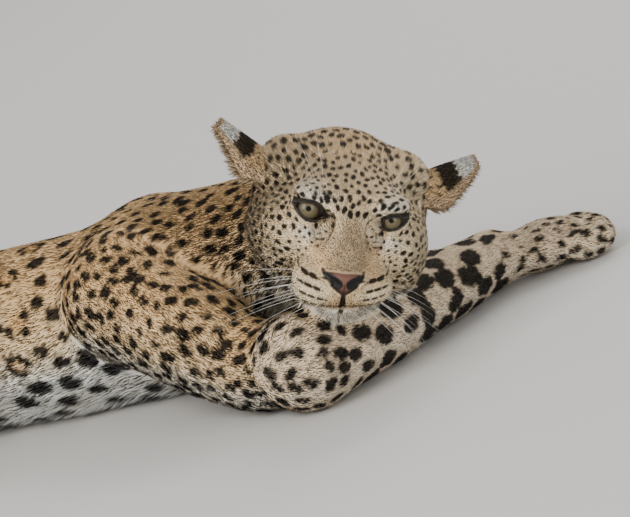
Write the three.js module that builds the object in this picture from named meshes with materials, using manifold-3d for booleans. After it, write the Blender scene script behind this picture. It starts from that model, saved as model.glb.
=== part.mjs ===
// A life-size leopard lying on the floor with its head turned to its right and resting on its right forearm.
// Millimetres, +Z up, floor at z = 0. The body lies along X with the head end at +X, and the camera side is -Y.
// The origin is on the floor under the chest.
import * as THREE from "three";
import { mergeVertices } from "three/addons/utils/BufferGeometryUtils.js";
import Module from "manifold-3d";

const wasm = await Module();
wasm.setup();

// Driving dimensions
const GAP = 0.35; // clearance between neighbouring parts
const HEAD_CENTRE = [200, -105, 138]; // middle of the skull above the floor
const HEAD_TURN = -70.1; // heading of the nose, in degrees from +X
const HEAD_DROP = 6.4; // nose below level, in degrees
const HEAD_LEAN = -29.3; // crown leaning to the animal's left, in degrees
const EYE_SPAN = 72; // between the eye centres
const EYE_RADIUS = 15.5;
const EAR_WIDTH = 28; // half width at its root
const LID = 2.4; // thickness of the lids over the eyeball
const CHIN_SHIFT = 0.13; // sideways push of the chin for its depth below the nose
const NOSE_SHIFT = 3.5; // sideways turn of the nose
const NOSE_ROLL = 0.05; // rise of the nose for its distance to the left
const MOUTH_ROLL = 0.1; // further rise of the mouth
const HEAD_ZONE_ROLL = -12; // turn of the zone that parts the head from the neck
const WITHERS = 172; // height of the back over the shoulders
const BACK = 164; // height of the back over the ribs
const TRUNK_HALF_WIDTH = 86;
const BODY_LENGTH = 650; // front of the chest to the rump
const CHEST_FRONT = 80; // X of the front of the chest
const PAW_LENGTH = 119;
const TAIL_RADIUS = 25;

// Size of the facets
const FACE_CELL = 8.2;
const SKULL_CELL = 12;
const JAW_CELL = 11;
const CORE_CELL = 35;
const LIMB_CELL = 22;
const PAW_CELL = 13.5;
const TAIL_CELL = 18;

const rad = THREE.MathUtils.degToRad;
const vec = (p) => new THREE.Vector3(...p);
const lerp = THREE.MathUtils.lerp;

// Smooth joins of two distance fields, with a fillet about k wide.
function blend(a, b, k) {
  const h = Math.max(k - Math.abs(a - b), 0) / k;
  return Math.min(a, b) - h * h * k * 0.25;
}

function blendAll(fields, k) {
  return (x, y, z) => fields.reduce((d, field) => blend(d, field(x, y, z), k), 1e3);
}

function carve(field, tool, k) {
  return (x, y, z) => -blend(-field(x, y, z), tool(x, y, z), k);
}

// An ellipsoid with its three axes turned by a quaternion.
function ellipsoid(centre, radii, turn = new THREE.Quaternion()) {
  const m = new THREE.Matrix4().makeRotationFromQuaternion(turn).elements;
  const [rx, ry, rz] = radii;
  return (x, y, z) => {
    const dx = x - centre[0];
    const dy = y - centre[1];
    const dz = z - centre[2];
    const a = (dx * m[0] + dy * m[1] + dz * m[2]) / rx;
    const b = (dx * m[4] + dy * m[5] + dz * m[6]) / ry;
    const c = (dx * m[8] + dy * m[9] + dz * m[10]) / rz;
    const k0 = Math.hypot(a, b, c);
    const k1 = Math.hypot(a / rx, b / ry, c / rz);
    return k0 < 1e-6 ? -Math.min(rx, ry, rz) : (k0 * (k0 - 1)) / k1;
  };
}

// A limb or tail: a round section that follows a curve, its radius read along the stations.
function limb(stations, steps = 6) {
  const curve = new THREE.CatmullRomCurve3(stations.map((s) => vec(s)), false, "centripetal");
  const last = stations.length - 1;
  const count = last * steps;
  const samples = [];
  for (let i = 0; i <= count; i++) {
    const t = i / count;
    const at = Math.min(Math.floor(t * last), last - 1);
    const share = THREE.MathUtils.smoothstep(t * last - at, 0, 1);
    const p = curve.getPoint(t);
    samples.push([p.x, p.y, p.z, lerp(stations[at][3], stations[at + 1][3], share)]);
  }
  return (x, y, z) => {
    let best = 1e3;
    for (let i = 0; i < count; i++) {
      const a = samples[i];
      const b = samples[i + 1];
      const ex = b[0] - a[0];
      const ey = b[1] - a[1];
      const ez = b[2] - a[2];
      const along = ((x - a[0]) * ex + (y - a[1]) * ey + (z - a[2]) * ez) / (ex * ex + ey * ey + ez * ez);
      const t = Math.min(Math.max(along, 0), 1);
      const d = Math.hypot(x - a[0] - t * ex, y - a[1] - t * ey, z - a[2] - t * ez) - lerp(a[3], b[3], t);
      if (d < best) best = d;
    }
    return best;
  };
}

// The trunk of the body: an oval section with its own half width, and half height above and below, along X.
function trunk(stations) {
  const first = stations[0];
  const last = stations[stations.length - 1];
  const endCap = 46;
  return (x, y, z) => {
    const xc = Math.min(Math.max(x, last[0]), first[0]);
    let i = 0;
    while (i < stations.length - 2 && xc < stations[i + 1][0]) i++;
    const a = stations[i];
    const b = stations[i + 1];
    const t = THREE.MathUtils.smoothstep((a[0] - xc) / (a[0] - b[0]), 0, 1);
    const at = (n) => lerp(a[n], b[n], t);
    const side = (y - at(1)) / at(3);
    const rise = z - at(2);
    const tall = rise > 0 ? at(4) : at(5);
    const up = rise / tall;
    const along = (x - xc) / endCap;
    const k0 = Math.hypot(side, up, along);
    const k1 = Math.hypot(side / at(3), up / tall, along / endCap);
    return k0 < 1e-6 ? -at(3) : (k0 * (k0 - 1)) / k1;
  };
}

// Whether the inside or outside corners of a cell meet only at a corner or across a face.
function pinched(pattern) {
  const inside = (c) => ((pattern >> c) & 1) === 1;
  for (const [a, b] of [[1, 2], [2, 4], [4, 1]]) {
    const rest = 7 - a - b;
    for (const side of [0, rest]) {
      const [p, q, r, s] = [side, side | a, side | a | b, side | b].map(inside);
      if (p === r && q === s && p !== q) return true;
    }
  }
  for (const value of [true, false]) {
    const group = [0, 1, 2, 3, 4, 5, 6, 7].filter((c) => inside(c) === value);
    if (group.length === 0) continue;
    const reached = new Set([group[0]]);
    for (const c of reached) for (const bit of [1, 2, 4]) if (inside(c ^ bit) === value) reached.add(c ^ bit);
    if (reached.size < group.length) return true;
  }
  return false;
}

const PINCHED = Array.from({ length: 256 }, (_, pattern) => pinched(pattern));

// Empties the shallowest inside corner of every pinched cell, until none is left.
function unpinch(values, n, offsets) {
  for (let changed = true; changed; ) {
    changed = false;
    for (let k = 0; k < n[2] - 1; k++)
      for (let j = 0; j < n[1] - 1; j++)
        for (let i = 0; i < n[0] - 1; i++) {
          const base = i + n[0] * (j + n[1] * k);
          let pattern = 0;
          for (let c = 0; c < 8; c++) if (values[base + offsets[c]] < 0) pattern |= 1 << c;
          if (!PINCHED[pattern]) continue;
          let pick = -1;
          for (const offset of offsets) {
            const value = values[base + offset];
            if (value < 0 && (pick < 0 || value > values[pick])) pick = base + offset;
          }
          values[pick] = 0.01;
          changed = true;
        }
  }
}

// The closed surface where a field is zero, inside a box, as a mesh of four-sided cells split in two.
function surface(field, low, high, cell) {
  const n = low.map((v, i) => Math.ceil((high[i] - v) / cell) + 2);
  const at = (i, j, k) => i + n[0] * (j + n[1] * k);
  const values = new Float32Array(n[0] * n[1] * n[2]);
  for (let k = 0; k < n[2]; k++)
    for (let j = 0; j < n[1]; j++)
      for (let i = 0; i < n[0]; i++) {
        const edge = i === 0 || j === 0 || k === 0 || i === n[0] - 1 || j === n[1] - 1 || k === n[2] - 1;
        const value = field(low[0] + (i - 0.5) * cell, low[1] + (j - 0.5) * cell, low[2] + (k - 0.5) * cell);
        values[at(i, j, k)] = edge ? Math.max(value, 0.4 * cell) : value;
      }
  unpinch(values, n, [0, 1, 2, 3, 4, 5, 6, 7].map((c) => at(c & 1, (c >> 1) & 1, c >> 2)));
  const vertexOf = new Int32Array(values.length).fill(-1);
  const positions = [];
  const corners = [];
  for (let c = 0; c < 8; c++) corners.push([c & 1, (c >> 1) & 1, c >> 2]);
  const edges = [];
  for (let a = 0; a < 8; a++) for (const bit of [1, 2, 4]) if (!(a & bit)) edges.push([a, a | bit]);
  for (let k = 0; k < n[2] - 1; k++)
    for (let j = 0; j < n[1] - 1; j++)
      for (let i = 0; i < n[0] - 1; i++) {
        const v = corners.map(([a, b, c]) => values[at(i + a, j + b, k + c)]);
        const inside = v.filter((d) => d < 0).length;
        if (inside === 0 || inside === 8) continue;
        const sum = [0, 0, 0];
        let crossings = 0;
        for (const [a, b] of edges) {
          if (v[a] < 0 === v[b] < 0) continue;
          const t = v[a] / (v[a] - v[b]);
          for (let d = 0; d < 3; d++) sum[d] += lerp(corners[a][d], corners[b][d], t);
          crossings++;
        }
        vertexOf[at(i, j, k)] = positions.length / 3;
        const cellAt = [i, j, k];
        for (let d = 0; d < 3; d++) positions.push(low[d] + (cellAt[d] + sum[d] / crossings - 0.5) * cell);
      }
  const triangles = [];
  const quad = (a, b, c, d, flip) => {
    if (flip) triangles.push(a, c, b, a, d, c);
    else triangles.push(a, b, c, a, c, d);
  };
  for (let k = 0; k < n[2] - 1; k++)
    for (let j = 0; j < n[1] - 1; j++)
      for (let i = 0; i < n[0] - 1; i++) {
        const here = values[at(i, j, k)] < 0;
        const cellOf = (a, b, c) => vertexOf[at(i - a, j - b, k - c)];
        if (here !== values[at(i + 1, j, k)] < 0)
          quad(cellOf(0, 0, 0), cellOf(0, 1, 0), cellOf(0, 1, 1), cellOf(0, 0, 1), !here);
        if (here !== values[at(i, j + 1, k)] < 0)
          quad(cellOf(0, 0, 0), cellOf(0, 0, 1), cellOf(1, 0, 1), cellOf(1, 0, 0), !here);
        if (here !== values[at(i, j, k + 1)] < 0)
          quad(cellOf(0, 0, 0), cellOf(1, 0, 0), cellOf(1, 1, 0), cellOf(0, 1, 0), !here);
      }
  settle(field, positions, cell);
  const geometry = new THREE.BufferGeometry();
  geometry.setAttribute("position", new THREE.Float32BufferAttribute(positions, 3));
  geometry.setIndex(triangles);
  return geometry;
}

// Moves each vertex onto the field's own zero, by at most a third of a cell.
function settle(field, positions, cell) {
  const h = 0.5;
  const most = cell / 3;
  for (let i = 0; i < positions.length; i += 3) {
    const [x, y, z] = positions.slice(i, i + 3);
    const d = field(x, y, z);
    const gx = (field(x + h, y, z) - field(x - h, y, z)) / (2 * h);
    const gy = (field(x, y + h, z) - field(x, y - h, z)) / (2 * h);
    const gz = (field(x, y, z + h) - field(x, y, z - h)) / (2 * h);
    const g = Math.max(gx * gx + gy * gy + gz * gz, 0.25);
    const step = Math.min(Math.max(d / g, -most), most);
    positions[i] -= step * gx;
    positions[i + 1] -= step * gy;
    positions[i + 2] -= step * gz;
  }
}

// A three.js geometry as a solid for cutting and joining.
function solid(geometry) {
  const bare = geometry.clone();
  bare.deleteAttribute("normal");
  bare.deleteAttribute("uv");
  const merged = mergeVertices(bare, 1e-3);
  return new wasm.Manifold(
    new wasm.Mesh({
      numProp: 3,
      vertProperties: merged.attributes.position.array,
      triVerts: new Uint32Array(merged.index.array),
    }),
  );
}

function geometryOf(shape) {
  const mesh = shape.getMesh();
  const geometry = new THREE.BufferGeometry();
  const positions = new Float32Array(mesh.numVert * 3);
  for (let i = 0; i < mesh.numVert; i++)
    for (let d = 0; d < 3; d++) positions[i * 3 + d] = mesh.vertProperties[i * mesh.numProp + d];
  geometry.setAttribute("position", new THREE.BufferAttribute(positions, 3));
  geometry.setIndex(new THREE.BufferAttribute(new Uint32Array(mesh.triVerts), 1));
  geometry.computeVertexNormals();
  return geometry;
}

// The same solid with its skin moved out by a distance, to cut a neighbour clear of it.
function swell(shape, distance = GAP) {
  const geometry = geometryOf(shape);
  const position = geometry.attributes.position;
  const normal = geometry.attributes.normal;
  for (let i = 0; i < position.count; i++)
    position.setXYZ(
      i,
      position.getX(i) + distance * normal.getX(i),
      position.getY(i) + distance * normal.getY(i),
      position.getZ(i) + distance * normal.getZ(i),
    );
  return solid(geometry);
}

// The largest closed body, resting on the floor.
function grounded(shape) {
  const bodies = shape.trimByPlane([0, 0, 1], 0).decompose();
  return bodies.reduce((a, b) => (a.volume() > b.volume() ? a : b));
}

const quaternionFrom = (x, y, z) =>
  new THREE.Quaternion().setFromRotationMatrix(new THREE.Matrix4().makeBasis(x, y, z));

// The head's own frame: forward to the nose, left, and up through the crown.
const forward = new THREE.Vector3(
  Math.cos(rad(HEAD_TURN)) * Math.cos(rad(HEAD_DROP)),
  Math.sin(rad(HEAD_TURN)) * Math.cos(rad(HEAD_DROP)),
  -Math.sin(rad(HEAD_DROP)),
);
const levelLeft = new THREE.Vector3(-Math.sin(rad(HEAD_TURN)), Math.cos(rad(HEAD_TURN)), 0);
const left = levelLeft.clone().applyAxisAngle(forward, rad(HEAD_LEAN));
const up = forward.clone().cross(left);
const headTurn = quaternionFrom(forward, left, up);
const headPlace = new THREE.Matrix4().compose(vec(HEAD_CENTRE), headTurn, new THREE.Vector3(1, 1, 1));
const headPoint = (f, l, u) => new THREE.Vector3(f, l, u).applyMatrix4(headPlace);

// A field written in the head's frame, read in the floor's frame.
function onHead(field) {
  const m = headPlace.clone().invert().elements;
  return (x, y, z) =>
    field(
      x * m[0] + y * m[4] + z * m[8] + m[12],
      x * m[1] + y * m[5] + z * m[9] + m[13],
      x * m[2] + y * m[6] + z * m[10] + m[14],
    );
}

const SIDES = [
  ["right", -1],
  ["left", 1],
];
const both = (make) => SIDES.map(([, s]) => make(s));
const eyeCentre = (s) => [43.5, (s * EYE_SPAN) / 2, 25.5];

function upperHead() {
  const base = blendAll(
    [
      ellipsoid([-38, 0, 18], [70, 61, 54]), // cranium
      ellipsoid([18, 0, 26], [50, 47, 31]), // forehead
      ellipsoid([34, 0, 2], [38, 50, 28]), // middle of the face
      limb([[30, 0, 4, 34], [62, 0, -10, 28], [84, 0, -22, 22]]), // muzzle
      ...both((s) => ellipsoid([-10, s * 44, -14], [54, 37, 44])), // cheeks
      ...both((s) => ellipsoid([26, s * 46, 2], [30, 20, 20])), // cheekbones
      ...both((s) => ellipsoid([-38, s * 54, 32], [28, 24, 28])), // roots of the ears
      ellipsoid([-10, 0, -44], [58, 38, 26]), // throat
    ],
    22,
  );
  const face = blendAll(
    [
      base,
      limb([[46, 0, 17, 17], [74, 0, 2, 14], [97, 0, -17, 11]]), // bridge of the nose
      ...both((s) => ellipsoid([42, s * 32, 41], [20, 20, 8])), // brows
      ...both((s) => ellipsoid([79, s * 20, -29.5], [27, 23, 15])), // whisker pads
      ...both((s) => ellipsoid([73, s * 31, -22], [21, 13, 12])), // their outer ends
    ],
    12,
  );
  const lids = both((s) => ellipsoid(eyeCentre(s), Array(3).fill(EYE_RADIUS + LID)));
  const pad = ellipsoid([99, 0, -15], [10, 17, 9]);
  const seam = limb([[108, 0, -24, 1.6], [104, 0, -36, 1.8], [98, 0, -50, 2]]); // line from nose to lip
  const softened = carve(blendAll([face, ...lids, pad], 6), seam, 5);
  const hollows = [
    ...both((s) => ellipsoid([68, s * 25, 12], [10, 6, 8])), // beside the bridge
    ...both((s) => ellipsoid([61, s * 21, 21], [8, 6, 7])), // inner corners of the eyes
  ];
  return hollows.reduce((d, hollow) => carve(d, hollow, 9), softened);
}

function jaw() {
  return blendAll(
    [
      ellipsoid([70, 0, -50], [21, 21, 13]), // chin
      ...both((s) => limb([[56, s * 12, -49, 14], [10, s * 26, -48, 20]])),
    ],
    10,
  );
}

// The chin gives way to the side where it presses on the forearm, and the nose turns a little to the right.
const pressed = (field) => (f, l, u) => {
  const ahead = THREE.MathUtils.smoothstep(f, 50, 95);
  const roll = NOSE_ROLL + MOUTH_ROLL * THREE.MathUtils.smoothstep(-u, 12, 42);
  return field(f, l + CHIN_SHIFT * Math.min(u + 12, 0) + NOSE_SHIFT * ahead, u - ahead * l * roll);
};

// A rounded ear, open downwards: a C-shaped section, deep at the root and shallow at the tip, carried along it.
function ear(s) {
  const root = new THREE.Vector3(-38, s * 60, 24);
  const tip = new THREE.Vector3(-51, s * 115, 60);
  const axis = tip.clone().sub(root);
  const length = axis.length();
  axis.normalize();
  const opening = new THREE.Vector3(s < 0 ? 0.25 : 0.15, s * 0.3, -0.96);
  opening.addScaledVector(axis, -opening.dot(axis)).normalize();
  const across = opening.clone().cross(axis).normalize();
  const rings = 8;
  const arc = 8;
  const positions = [];
  for (let i = 0; i <= rings; i++) {
    const along = Math.sin(rad((90 * i) / rings));
    const width = EAR_WIDTH * Math.pow(1 - Math.pow(0.985 * along, 3), 0.45);
    const depth = lerp(33, 13, along);
    const tuck = 1 - THREE.MathUtils.smoothstep(along, 0, 0.4);
    const spread = rad(lerp(118, 84, along) - 42 * tuck);
    const wall = lerp(6, 3.4, along);
    for (const [side, count] of [[1, arc], [-1, arc]])
      for (let j = 0; j <= count; j++) {
        const angle = spread * (side > 0 ? -1 + (2 * j) / count : 1 - (2 * j) / count);
        const shrink = side > 0 ? 0 : wall;
        const p = root.clone().addScaledVector(axis, length * along - (side > 0 ? 0 : wall * 0.3 * along));
        p.addScaledVector(across, (width - shrink) * Math.sin(angle));
        p.addScaledVector(opening, depth * 0.55 - (depth - shrink) * Math.cos(angle));
        positions.push(...p.toArray());
      }
  }
  const n = 2 * (arc + 1);
  const triangles = [];
  const quad = (a, b, c, d) => triangles.push(a, b, c, a, c, d);
  for (let i = 0; i < rings; i++)
    for (let j = 0; j < n; j++) {
      const k = (j + 1) % n;
      quad(i * n + j, i * n + k, (i + 1) * n + k, (i + 1) * n + j);
    }
  for (let j = 0; j < arc; j++) {
    const a = j;
    const back = n - 1 - j;
    quad(a, back, back - 1, a + 1);
    const top = rings * n;
    quad(top + a, top + a + 1, top + back - 1, top + back);
  }
  const geometry = new THREE.BufferGeometry();
  geometry.setAttribute("position", new THREE.Float32BufferAttribute(positions, 3));
  geometry.setIndex(triangles);
  return geometry.applyMatrix4(headPlace);
}

// A lens-shaped prism that opens the lids in front of an eye.
function lidOpening(s, height) {
  const halfWidth = s < 0 ? 16 : 14;
  const slant = s < 0 ? 18 : 23;
  const shape = new THREE.Shape();
  shape.moveTo(-halfWidth, 0);
  shape.quadraticCurveTo(-2, height * 1.15, halfWidth, 0);
  shape.quadraticCurveTo(2, -height * 0.85, -halfWidth, 0);
  const prism = new THREE.ExtrudeGeometry(shape, { depth: 30, bevelEnabled: false, curveSegments: 8 });
  const gaze = new THREE.Vector3(1, s * 0.1, 0.22).normalize();
  const outward = new THREE.Vector3(0, s, 0).addScaledVector(gaze, -s * gaze.y).normalize();
  const high = gaze.clone().cross(outward).multiplyScalar(s);
  const turned = outward.clone().applyAxisAngle(gaze, rad(slant * s));
  const risen = high.clone().applyAxisAngle(gaze, rad(slant * s));
  const basis = s > 0 ? [turned, risen, gaze] : [turned.clone().negate(), risen, gaze];
  const place = new THREE.Matrix4().makeBasis(...basis).setPosition(...eyeCentre(s));
  return prism.applyMatrix4(place).applyMatrix4(headPlace);
}

function nostril(s) {
  const hole = new THREE.SphereGeometry(1, 12, 8);
  hole.scale(7, 3.4, 2.6);
  hole.rotateZ(rad(s * 28));
  hole.rotateX(rad(s * 30));
  hole.translate(108, s * 9 - NOSE_SHIFT, -18);
  return hole.applyMatrix4(headPlace);
}

// A paw flat on the floor: a wide palm and four toes side by side.
function paw(wrist, heading, size = 1) {
  const turn = new THREE.Quaternion().setFromAxisAngle(new THREE.Vector3(0, 0, 1), rad(heading));
  const place = (along, side, height) => {
    const p = new THREE.Vector3(along * size, side * size, 0).applyQuaternion(turn);
    return [wrist[0] + p.x, wrist[1] + p.y, height * size];
  };
  const palm = ellipsoid(place(48, 0, 23), [46 * size, 34 * size, 24 * size], turn);
  const toes = [-1.5, -0.5, 0.5, 1.5].map((n) => {
    const reach = PAW_LENGTH - 26 - 5 * Math.abs(n);
    return ellipsoid(place(reach, n * 18.5, 17), [27 * size, 12.5 * size, 18 * size], turn);
  });
  return blendAll([palm, blendAll(toes, 4)], 10);
}

const HIP = CHEST_FRONT - BODY_LENGTH * 0.87;
const w = TRUNK_HALF_WIDTH;
const bodyField = trunk([
  [CHEST_FRONT, 0, 96, w * 0.72, 66, 70],
  [10, 0, 90, w * 0.97, WITHERS - 90, 94],
  [-110, 9, 88, w * 0.95, BACK - 88, 91],
  [-240, 22, 91, w * 0.9, BACK - 92, 90],
  [-360, 26, 95, w * 0.84, BACK - 92, 88],
  [HIP, 20, 95, w * 0.95, 82, 96],
  [HIP - 90, 12, 94, w * 0.7, 64, 66],
]);

const neckBack = headPoint(-42, 0, -6).toArray();
const neckField = limb([
  [...neckBack, 64],
  [128, -22, 116, 66],
  [60, -4, 102, 73],
  [-30, 0, 92, 76],
]);

const SHOULDER = [-36, 60, 108];
const ELBOW = { right: [150, -164, 44], left: [-132, 134, 42] };
const ARM_MIDDLE = { right: [[30, -106, 80, 54], [84, -130, 44.5, 45]], left: [[-84, 101, 88, 53]] };
const WRIST = { right: [258, 62, 28], left: [92, 118, 28] };
const PAW_HEADING = { right: 30, left: -12 };
const KNEE = { right: [-318, -104, 86], left: [-326, 122, 86] };
const HOCK = { right: [-500, -128, 28], left: [-508, 148, 28] };
const HIND_WRIST = { right: [-386, -152, 25], left: [-394, 170, 25] };
const HIND_HEADING = { right: -8, left: 10 };

const upperArm = (name, s) =>
  limb([
    [SHOULDER[0], s * SHOULDER[1], SHOULDER[2], 56],
    ...ARM_MIDDLE[name],
    [...ELBOW[name], 39],
  ]);

const thigh = (name, s) =>
  blendAll(
    [
      limb([
        [HIP - 8, s * 46, 116, 64],
        [lerp(HIP, KNEE[name][0], 0.5), s * 82, 108, 60],
        [...KNEE[name], 46],
      ]),
      limb([
        [...KNEE[name], 40],
        [lerp(KNEE[name][0], HOCK[name][0], 0.5), s * 116, 70, 42],
        [HOCK[name][0], HOCK[name][1], 44, 30],
      ]),
    ],
    26,
  );

const forearm = (name) => {
  const e = ELBOW[name];
  const wr = WRIST[name];
  return limb([
    [...e, 46],
    [lerp(e[0], wr[0], 0.3), lerp(e[1], wr[1], 0.3), 40, 44],
    [lerp(e[0], wr[0], 0.7), lerp(e[1], wr[1], 0.7), 32, 34],
    [...wr, 29],
  ]);
};

const foot = (name) => {
  const h = HOCK[name];
  const wr = HIND_WRIST[name];
  return limb([
    [h[0] - 12, h[1], 36, 27],
    [lerp(h[0], wr[0], 0.5), lerp(h[1], wr[1], 0.5), 26, 24],
    [...wr, 25],
  ]);
};

const tailPoints = [
  [HIP - 60, 0, 112, TAIL_RADIUS * 1.5],
  [HIP - 120, 4, 86, TAIL_RADIUS * 1.25],
  [HIP - 190, 16, 46, TAIL_RADIUS * 1.05],
  [HIP - 262, 18, 26, TAIL_RADIUS],
  [HIP - 330, -16, 24, TAIL_RADIUS * 0.98],
  [HIP - 360, -88, 23, TAIL_RADIUS * 0.96],
  [HIP - 338, -164, 23, TAIL_RADIUS * 0.93],
  [HIP - 272, -218, 22, TAIL_RADIUS * 0.9],
  [HIP - 188, -238, 21, TAIL_RADIUS * 0.88],
  [HIP - 104, -232, 20, TAIL_RADIUS * 0.84],
  [HIP - 48, -208, 19, TAIL_RADIUS * 0.66],
];

// Flesh that runs on without a break: trunk, neck, shoulders and thighs.
const shoulderBlades = both((s) => ellipsoid([-26, s * 46, 118], [62, 36, 50]));
const coreField = blendAll(
  [bodyField, neckField, ...shoulderBlades, ...SIDES.map(([n, s]) => thigh(n, s)), limb(tailPoints.slice(0, 3))],
  24,
);
const coreWithArms = blendAll([coreField, ...SIDES.map(([n, s]) => upperArm(n, s))], 18);
const headField = onHead(pressed(upperHead()));
const jawField = onHead(pressed(jaw()));

const parts = new THREE.Group();
const made = {};

function add(name, shape, colour, roughness) {
  const material = new THREE.MeshStandardMaterial({ color: colour, roughness, metalness: 0 });
  const mesh = new THREE.Mesh(geometryOf(shape), material);
  mesh.name = name;
  parts.add(mesh);
  made[name] = shape;
}

const COAT = 0xc79a62;
const EYE = 0x8f9468;

const meshed = (field, low, high, cell) => grounded(solid(surface(field, low, high, cell)));

// Limbs below the elbow and the hock, and the tail.
const lowerParts = {};
for (const [name] of SIDES) {
  const wr = WRIST[name];
  const el = ELBOW[name];
  const low = [Math.min(el[0], wr[0]) - 60, Math.min(el[1], wr[1]) - 60, -12];
  const high = [Math.max(el[0], wr[0]) + 60, Math.max(el[1], wr[1]) + 60, 100];
  const whole = blendAll([forearm(name), paw(wr, PAW_HEADING[name])], 14);
  const heading = vec([Math.cos(rad(PAW_HEADING[name])), Math.sin(rad(PAW_HEADING[name])), 0]);
  const cut = heading.dot(vec(wr)) + 8;
  const far = [wr[0] + 150, wr[1] + 150, 100];
  const near = [wr[0] - 60, wr[1] - 150, -12];
  const armMesh = meshed(whole, low, high, LIMB_CELL);
  const pawMesh = meshed(whole, near, far, PAW_CELL);
  const keep = heading.clone().negate().toArray();
  lowerParts["forearm_" + name] = armMesh.trimByPlane(keep, -cut + GAP / 2);
  lowerParts["forepaw_" + name] = pawMesh.trimByPlane(heading.toArray(), cut + GAP / 2);
  const hw = HIND_WRIST[name];
  const hk = HOCK[name];
  const hindWhole = blendAll([foot(name), paw(hw, HIND_HEADING[name], 0.86)], 12);
  const hindLow = [hk[0] - 50, Math.min(hk[1], hw[1]) - 60, -12];
  const hindHigh = [hw[0] + 150, Math.max(hk[1], hw[1]) + 60, 80];
  lowerParts["hindfoot_" + name] = meshed(hindWhole, hindLow, hindHigh, PAW_CELL);
}

for (const [name, shape] of Object.entries(lowerParts)) add(name, shape, COAT, 0.9);

const minus = (shape, names) =>
  names.reduce((s, n) => s.subtract(swell(made[n], 2 * GAP)).subtract(made[n]), shape);

// Head, jaw, eyes and ears.
const reach = 135;
const around = (r) => [HEAD_CENTRE.map((v) => v - r), HEAD_CENTRE.map((v) => v + r)];
const headLow = around(reach)[0];
const headHigh = around(reach)[1];
const neckFacing = forward.clone();
const headWithNeck = (x, y, z) => blend(headField(x, y, z), neckField(x, y, z), 20);
const faceCut = headPoint(-4, 0, 0).dot(neckFacing);
const headBox = (inset) => {
  const geometry = new THREE.BoxGeometry(260 - 2 * inset, 240 - 2 * inset, 190 - 2 * inset);
  return solid(geometry.rotateX(rad(HEAD_ZONE_ROLL)).translate(68, 0, 14).applyMatrix4(headPlace));
};
let head = meshed(headWithNeck, headLow, headHigh, FACE_CELL);
head = head.trimByPlane(neckFacing.toArray(), faceCut + GAP / 2);
let skull = meshed(headWithNeck, headLow, headHigh, SKULL_CELL);
skull = skull.trimByPlane(neckFacing.clone().negate().toArray(), -faceCut + GAP / 2);
for (const [name, s] of SIDES) {
  const centre = headPoint(...eyeCentre(s)).toArray();
  const ball = new THREE.SphereGeometry(EYE_RADIUS, 16, 10).translate(...centre);
  const socket = new THREE.SphereGeometry(EYE_RADIUS + GAP, 16, 10).translate(...centre);
  add("eye_" + name, solid(ball), EYE, 0.15);
  head = head.subtract(solid(socket));
  head = head.subtract(solid(lidOpening(s, s < 0 ? 15 : 11)));
  head = head.subtract(solid(nostril(s)));
}
const headRoom = headBox(GAP);
add("face", grounded(minus(head.intersect(headRoom), ["forearm_right"])), COAT, 0.9);
add("skull", grounded(minus(skull.intersect(headRoom), ["forearm_right", "forepaw_left"])), COAT, 0.9);
const jawMesh = meshed(jawField, headLow, headHigh, JAW_CELL);
add("jaw", grounded(minus(jawMesh.intersect(headRoom), ["face", "skull", "forearm_right"])), COAT, 0.9);
for (const [name, s] of SIDES) add("ear_" + name, grounded(minus(solid(ear(s)), ["skull", "face"])), COAT, 0.9);

// Trunk, neck, upper limbs and tail.
const core = meshed(coreWithArms, [HIP - 200, -230, -20], [300, 230, 240], CORE_CELL);
const tail = meshed(limb(tailPoints), [HIP - 420, -290, -20], [HIP + 40, 90, 180], TAIL_CELL);

const box = (low, high) => {
  const size = high.map((v, i) => v - low[i]);
  const geometry = new THREE.BoxGeometry(...size).translate(...low.map((v, i) => v + size[i] / 2));
  return solid(geometry);
};
const between = (shape, x0, x1) => shape.intersect(box([x0 + GAP / 2, -400, -10], [x1 - GAP / 2, 400, 400]));
const capsule = (a, b, radius) => {
  const from = vec(a);
  const to = vec(b);
  const length = from.distanceTo(to);
  const shape = new THREE.CapsuleGeometry(radius, length, 6, 20, 1);
  const turn = new THREE.Quaternion().setFromUnitVectors(
    new THREE.Vector3(0, 1, 0),
    to.clone().sub(from).normalize(),
  );
  const middle = from.clone().lerp(to, 0.5);
  shape.applyMatrix4(new THREE.Matrix4().compose(middle, turn, new THREE.Vector3(1, 1, 1)));
  return solid(shape);
};

const TAIL_ROOT = HIP - 118;
let flesh = minus(core.subtract(headBox(0)), Object.keys(lowerParts));
const legZones = {};
for (const [name, s] of SIDES) {
  const e = ELBOW[name];
  legZones["foreleg_" + name] = capsule([SHOULDER[0] + 6, s * 84, 112], [e[0], e[1] + s * 10, e[2]], 72);
  const k = KNEE[name];
  legZones["hindleg_" + name] = capsule([HIP - 2, s * 86, 98], [k[0] - 10, s * 104, 70], 84);
}
for (const [name, zone] of Object.entries(legZones)) {
  add(name, grounded(flesh.intersect(zone)), COAT, 0.9);
  flesh = flesh.subtract(swell(zone));
}
flesh = flesh.intersect(box([TAIL_ROOT + GAP / 2, -400, -10], [400, 400, 400]));
const NECK_ROOT = 62;
const CHEST_END = -170;
const BELLY_END = -380;
add("neck", grounded(between(flesh, NECK_ROOT, 400)), COAT, 0.9);
add("chest", grounded(between(flesh, CHEST_END, NECK_ROOT)), COAT, 0.9);
add("belly", grounded(between(flesh, BELLY_END, CHEST_END)), COAT, 0.9);
add("rump", grounded(between(flesh, TAIL_ROOT - 10, BELLY_END)), COAT, 0.9);

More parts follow.
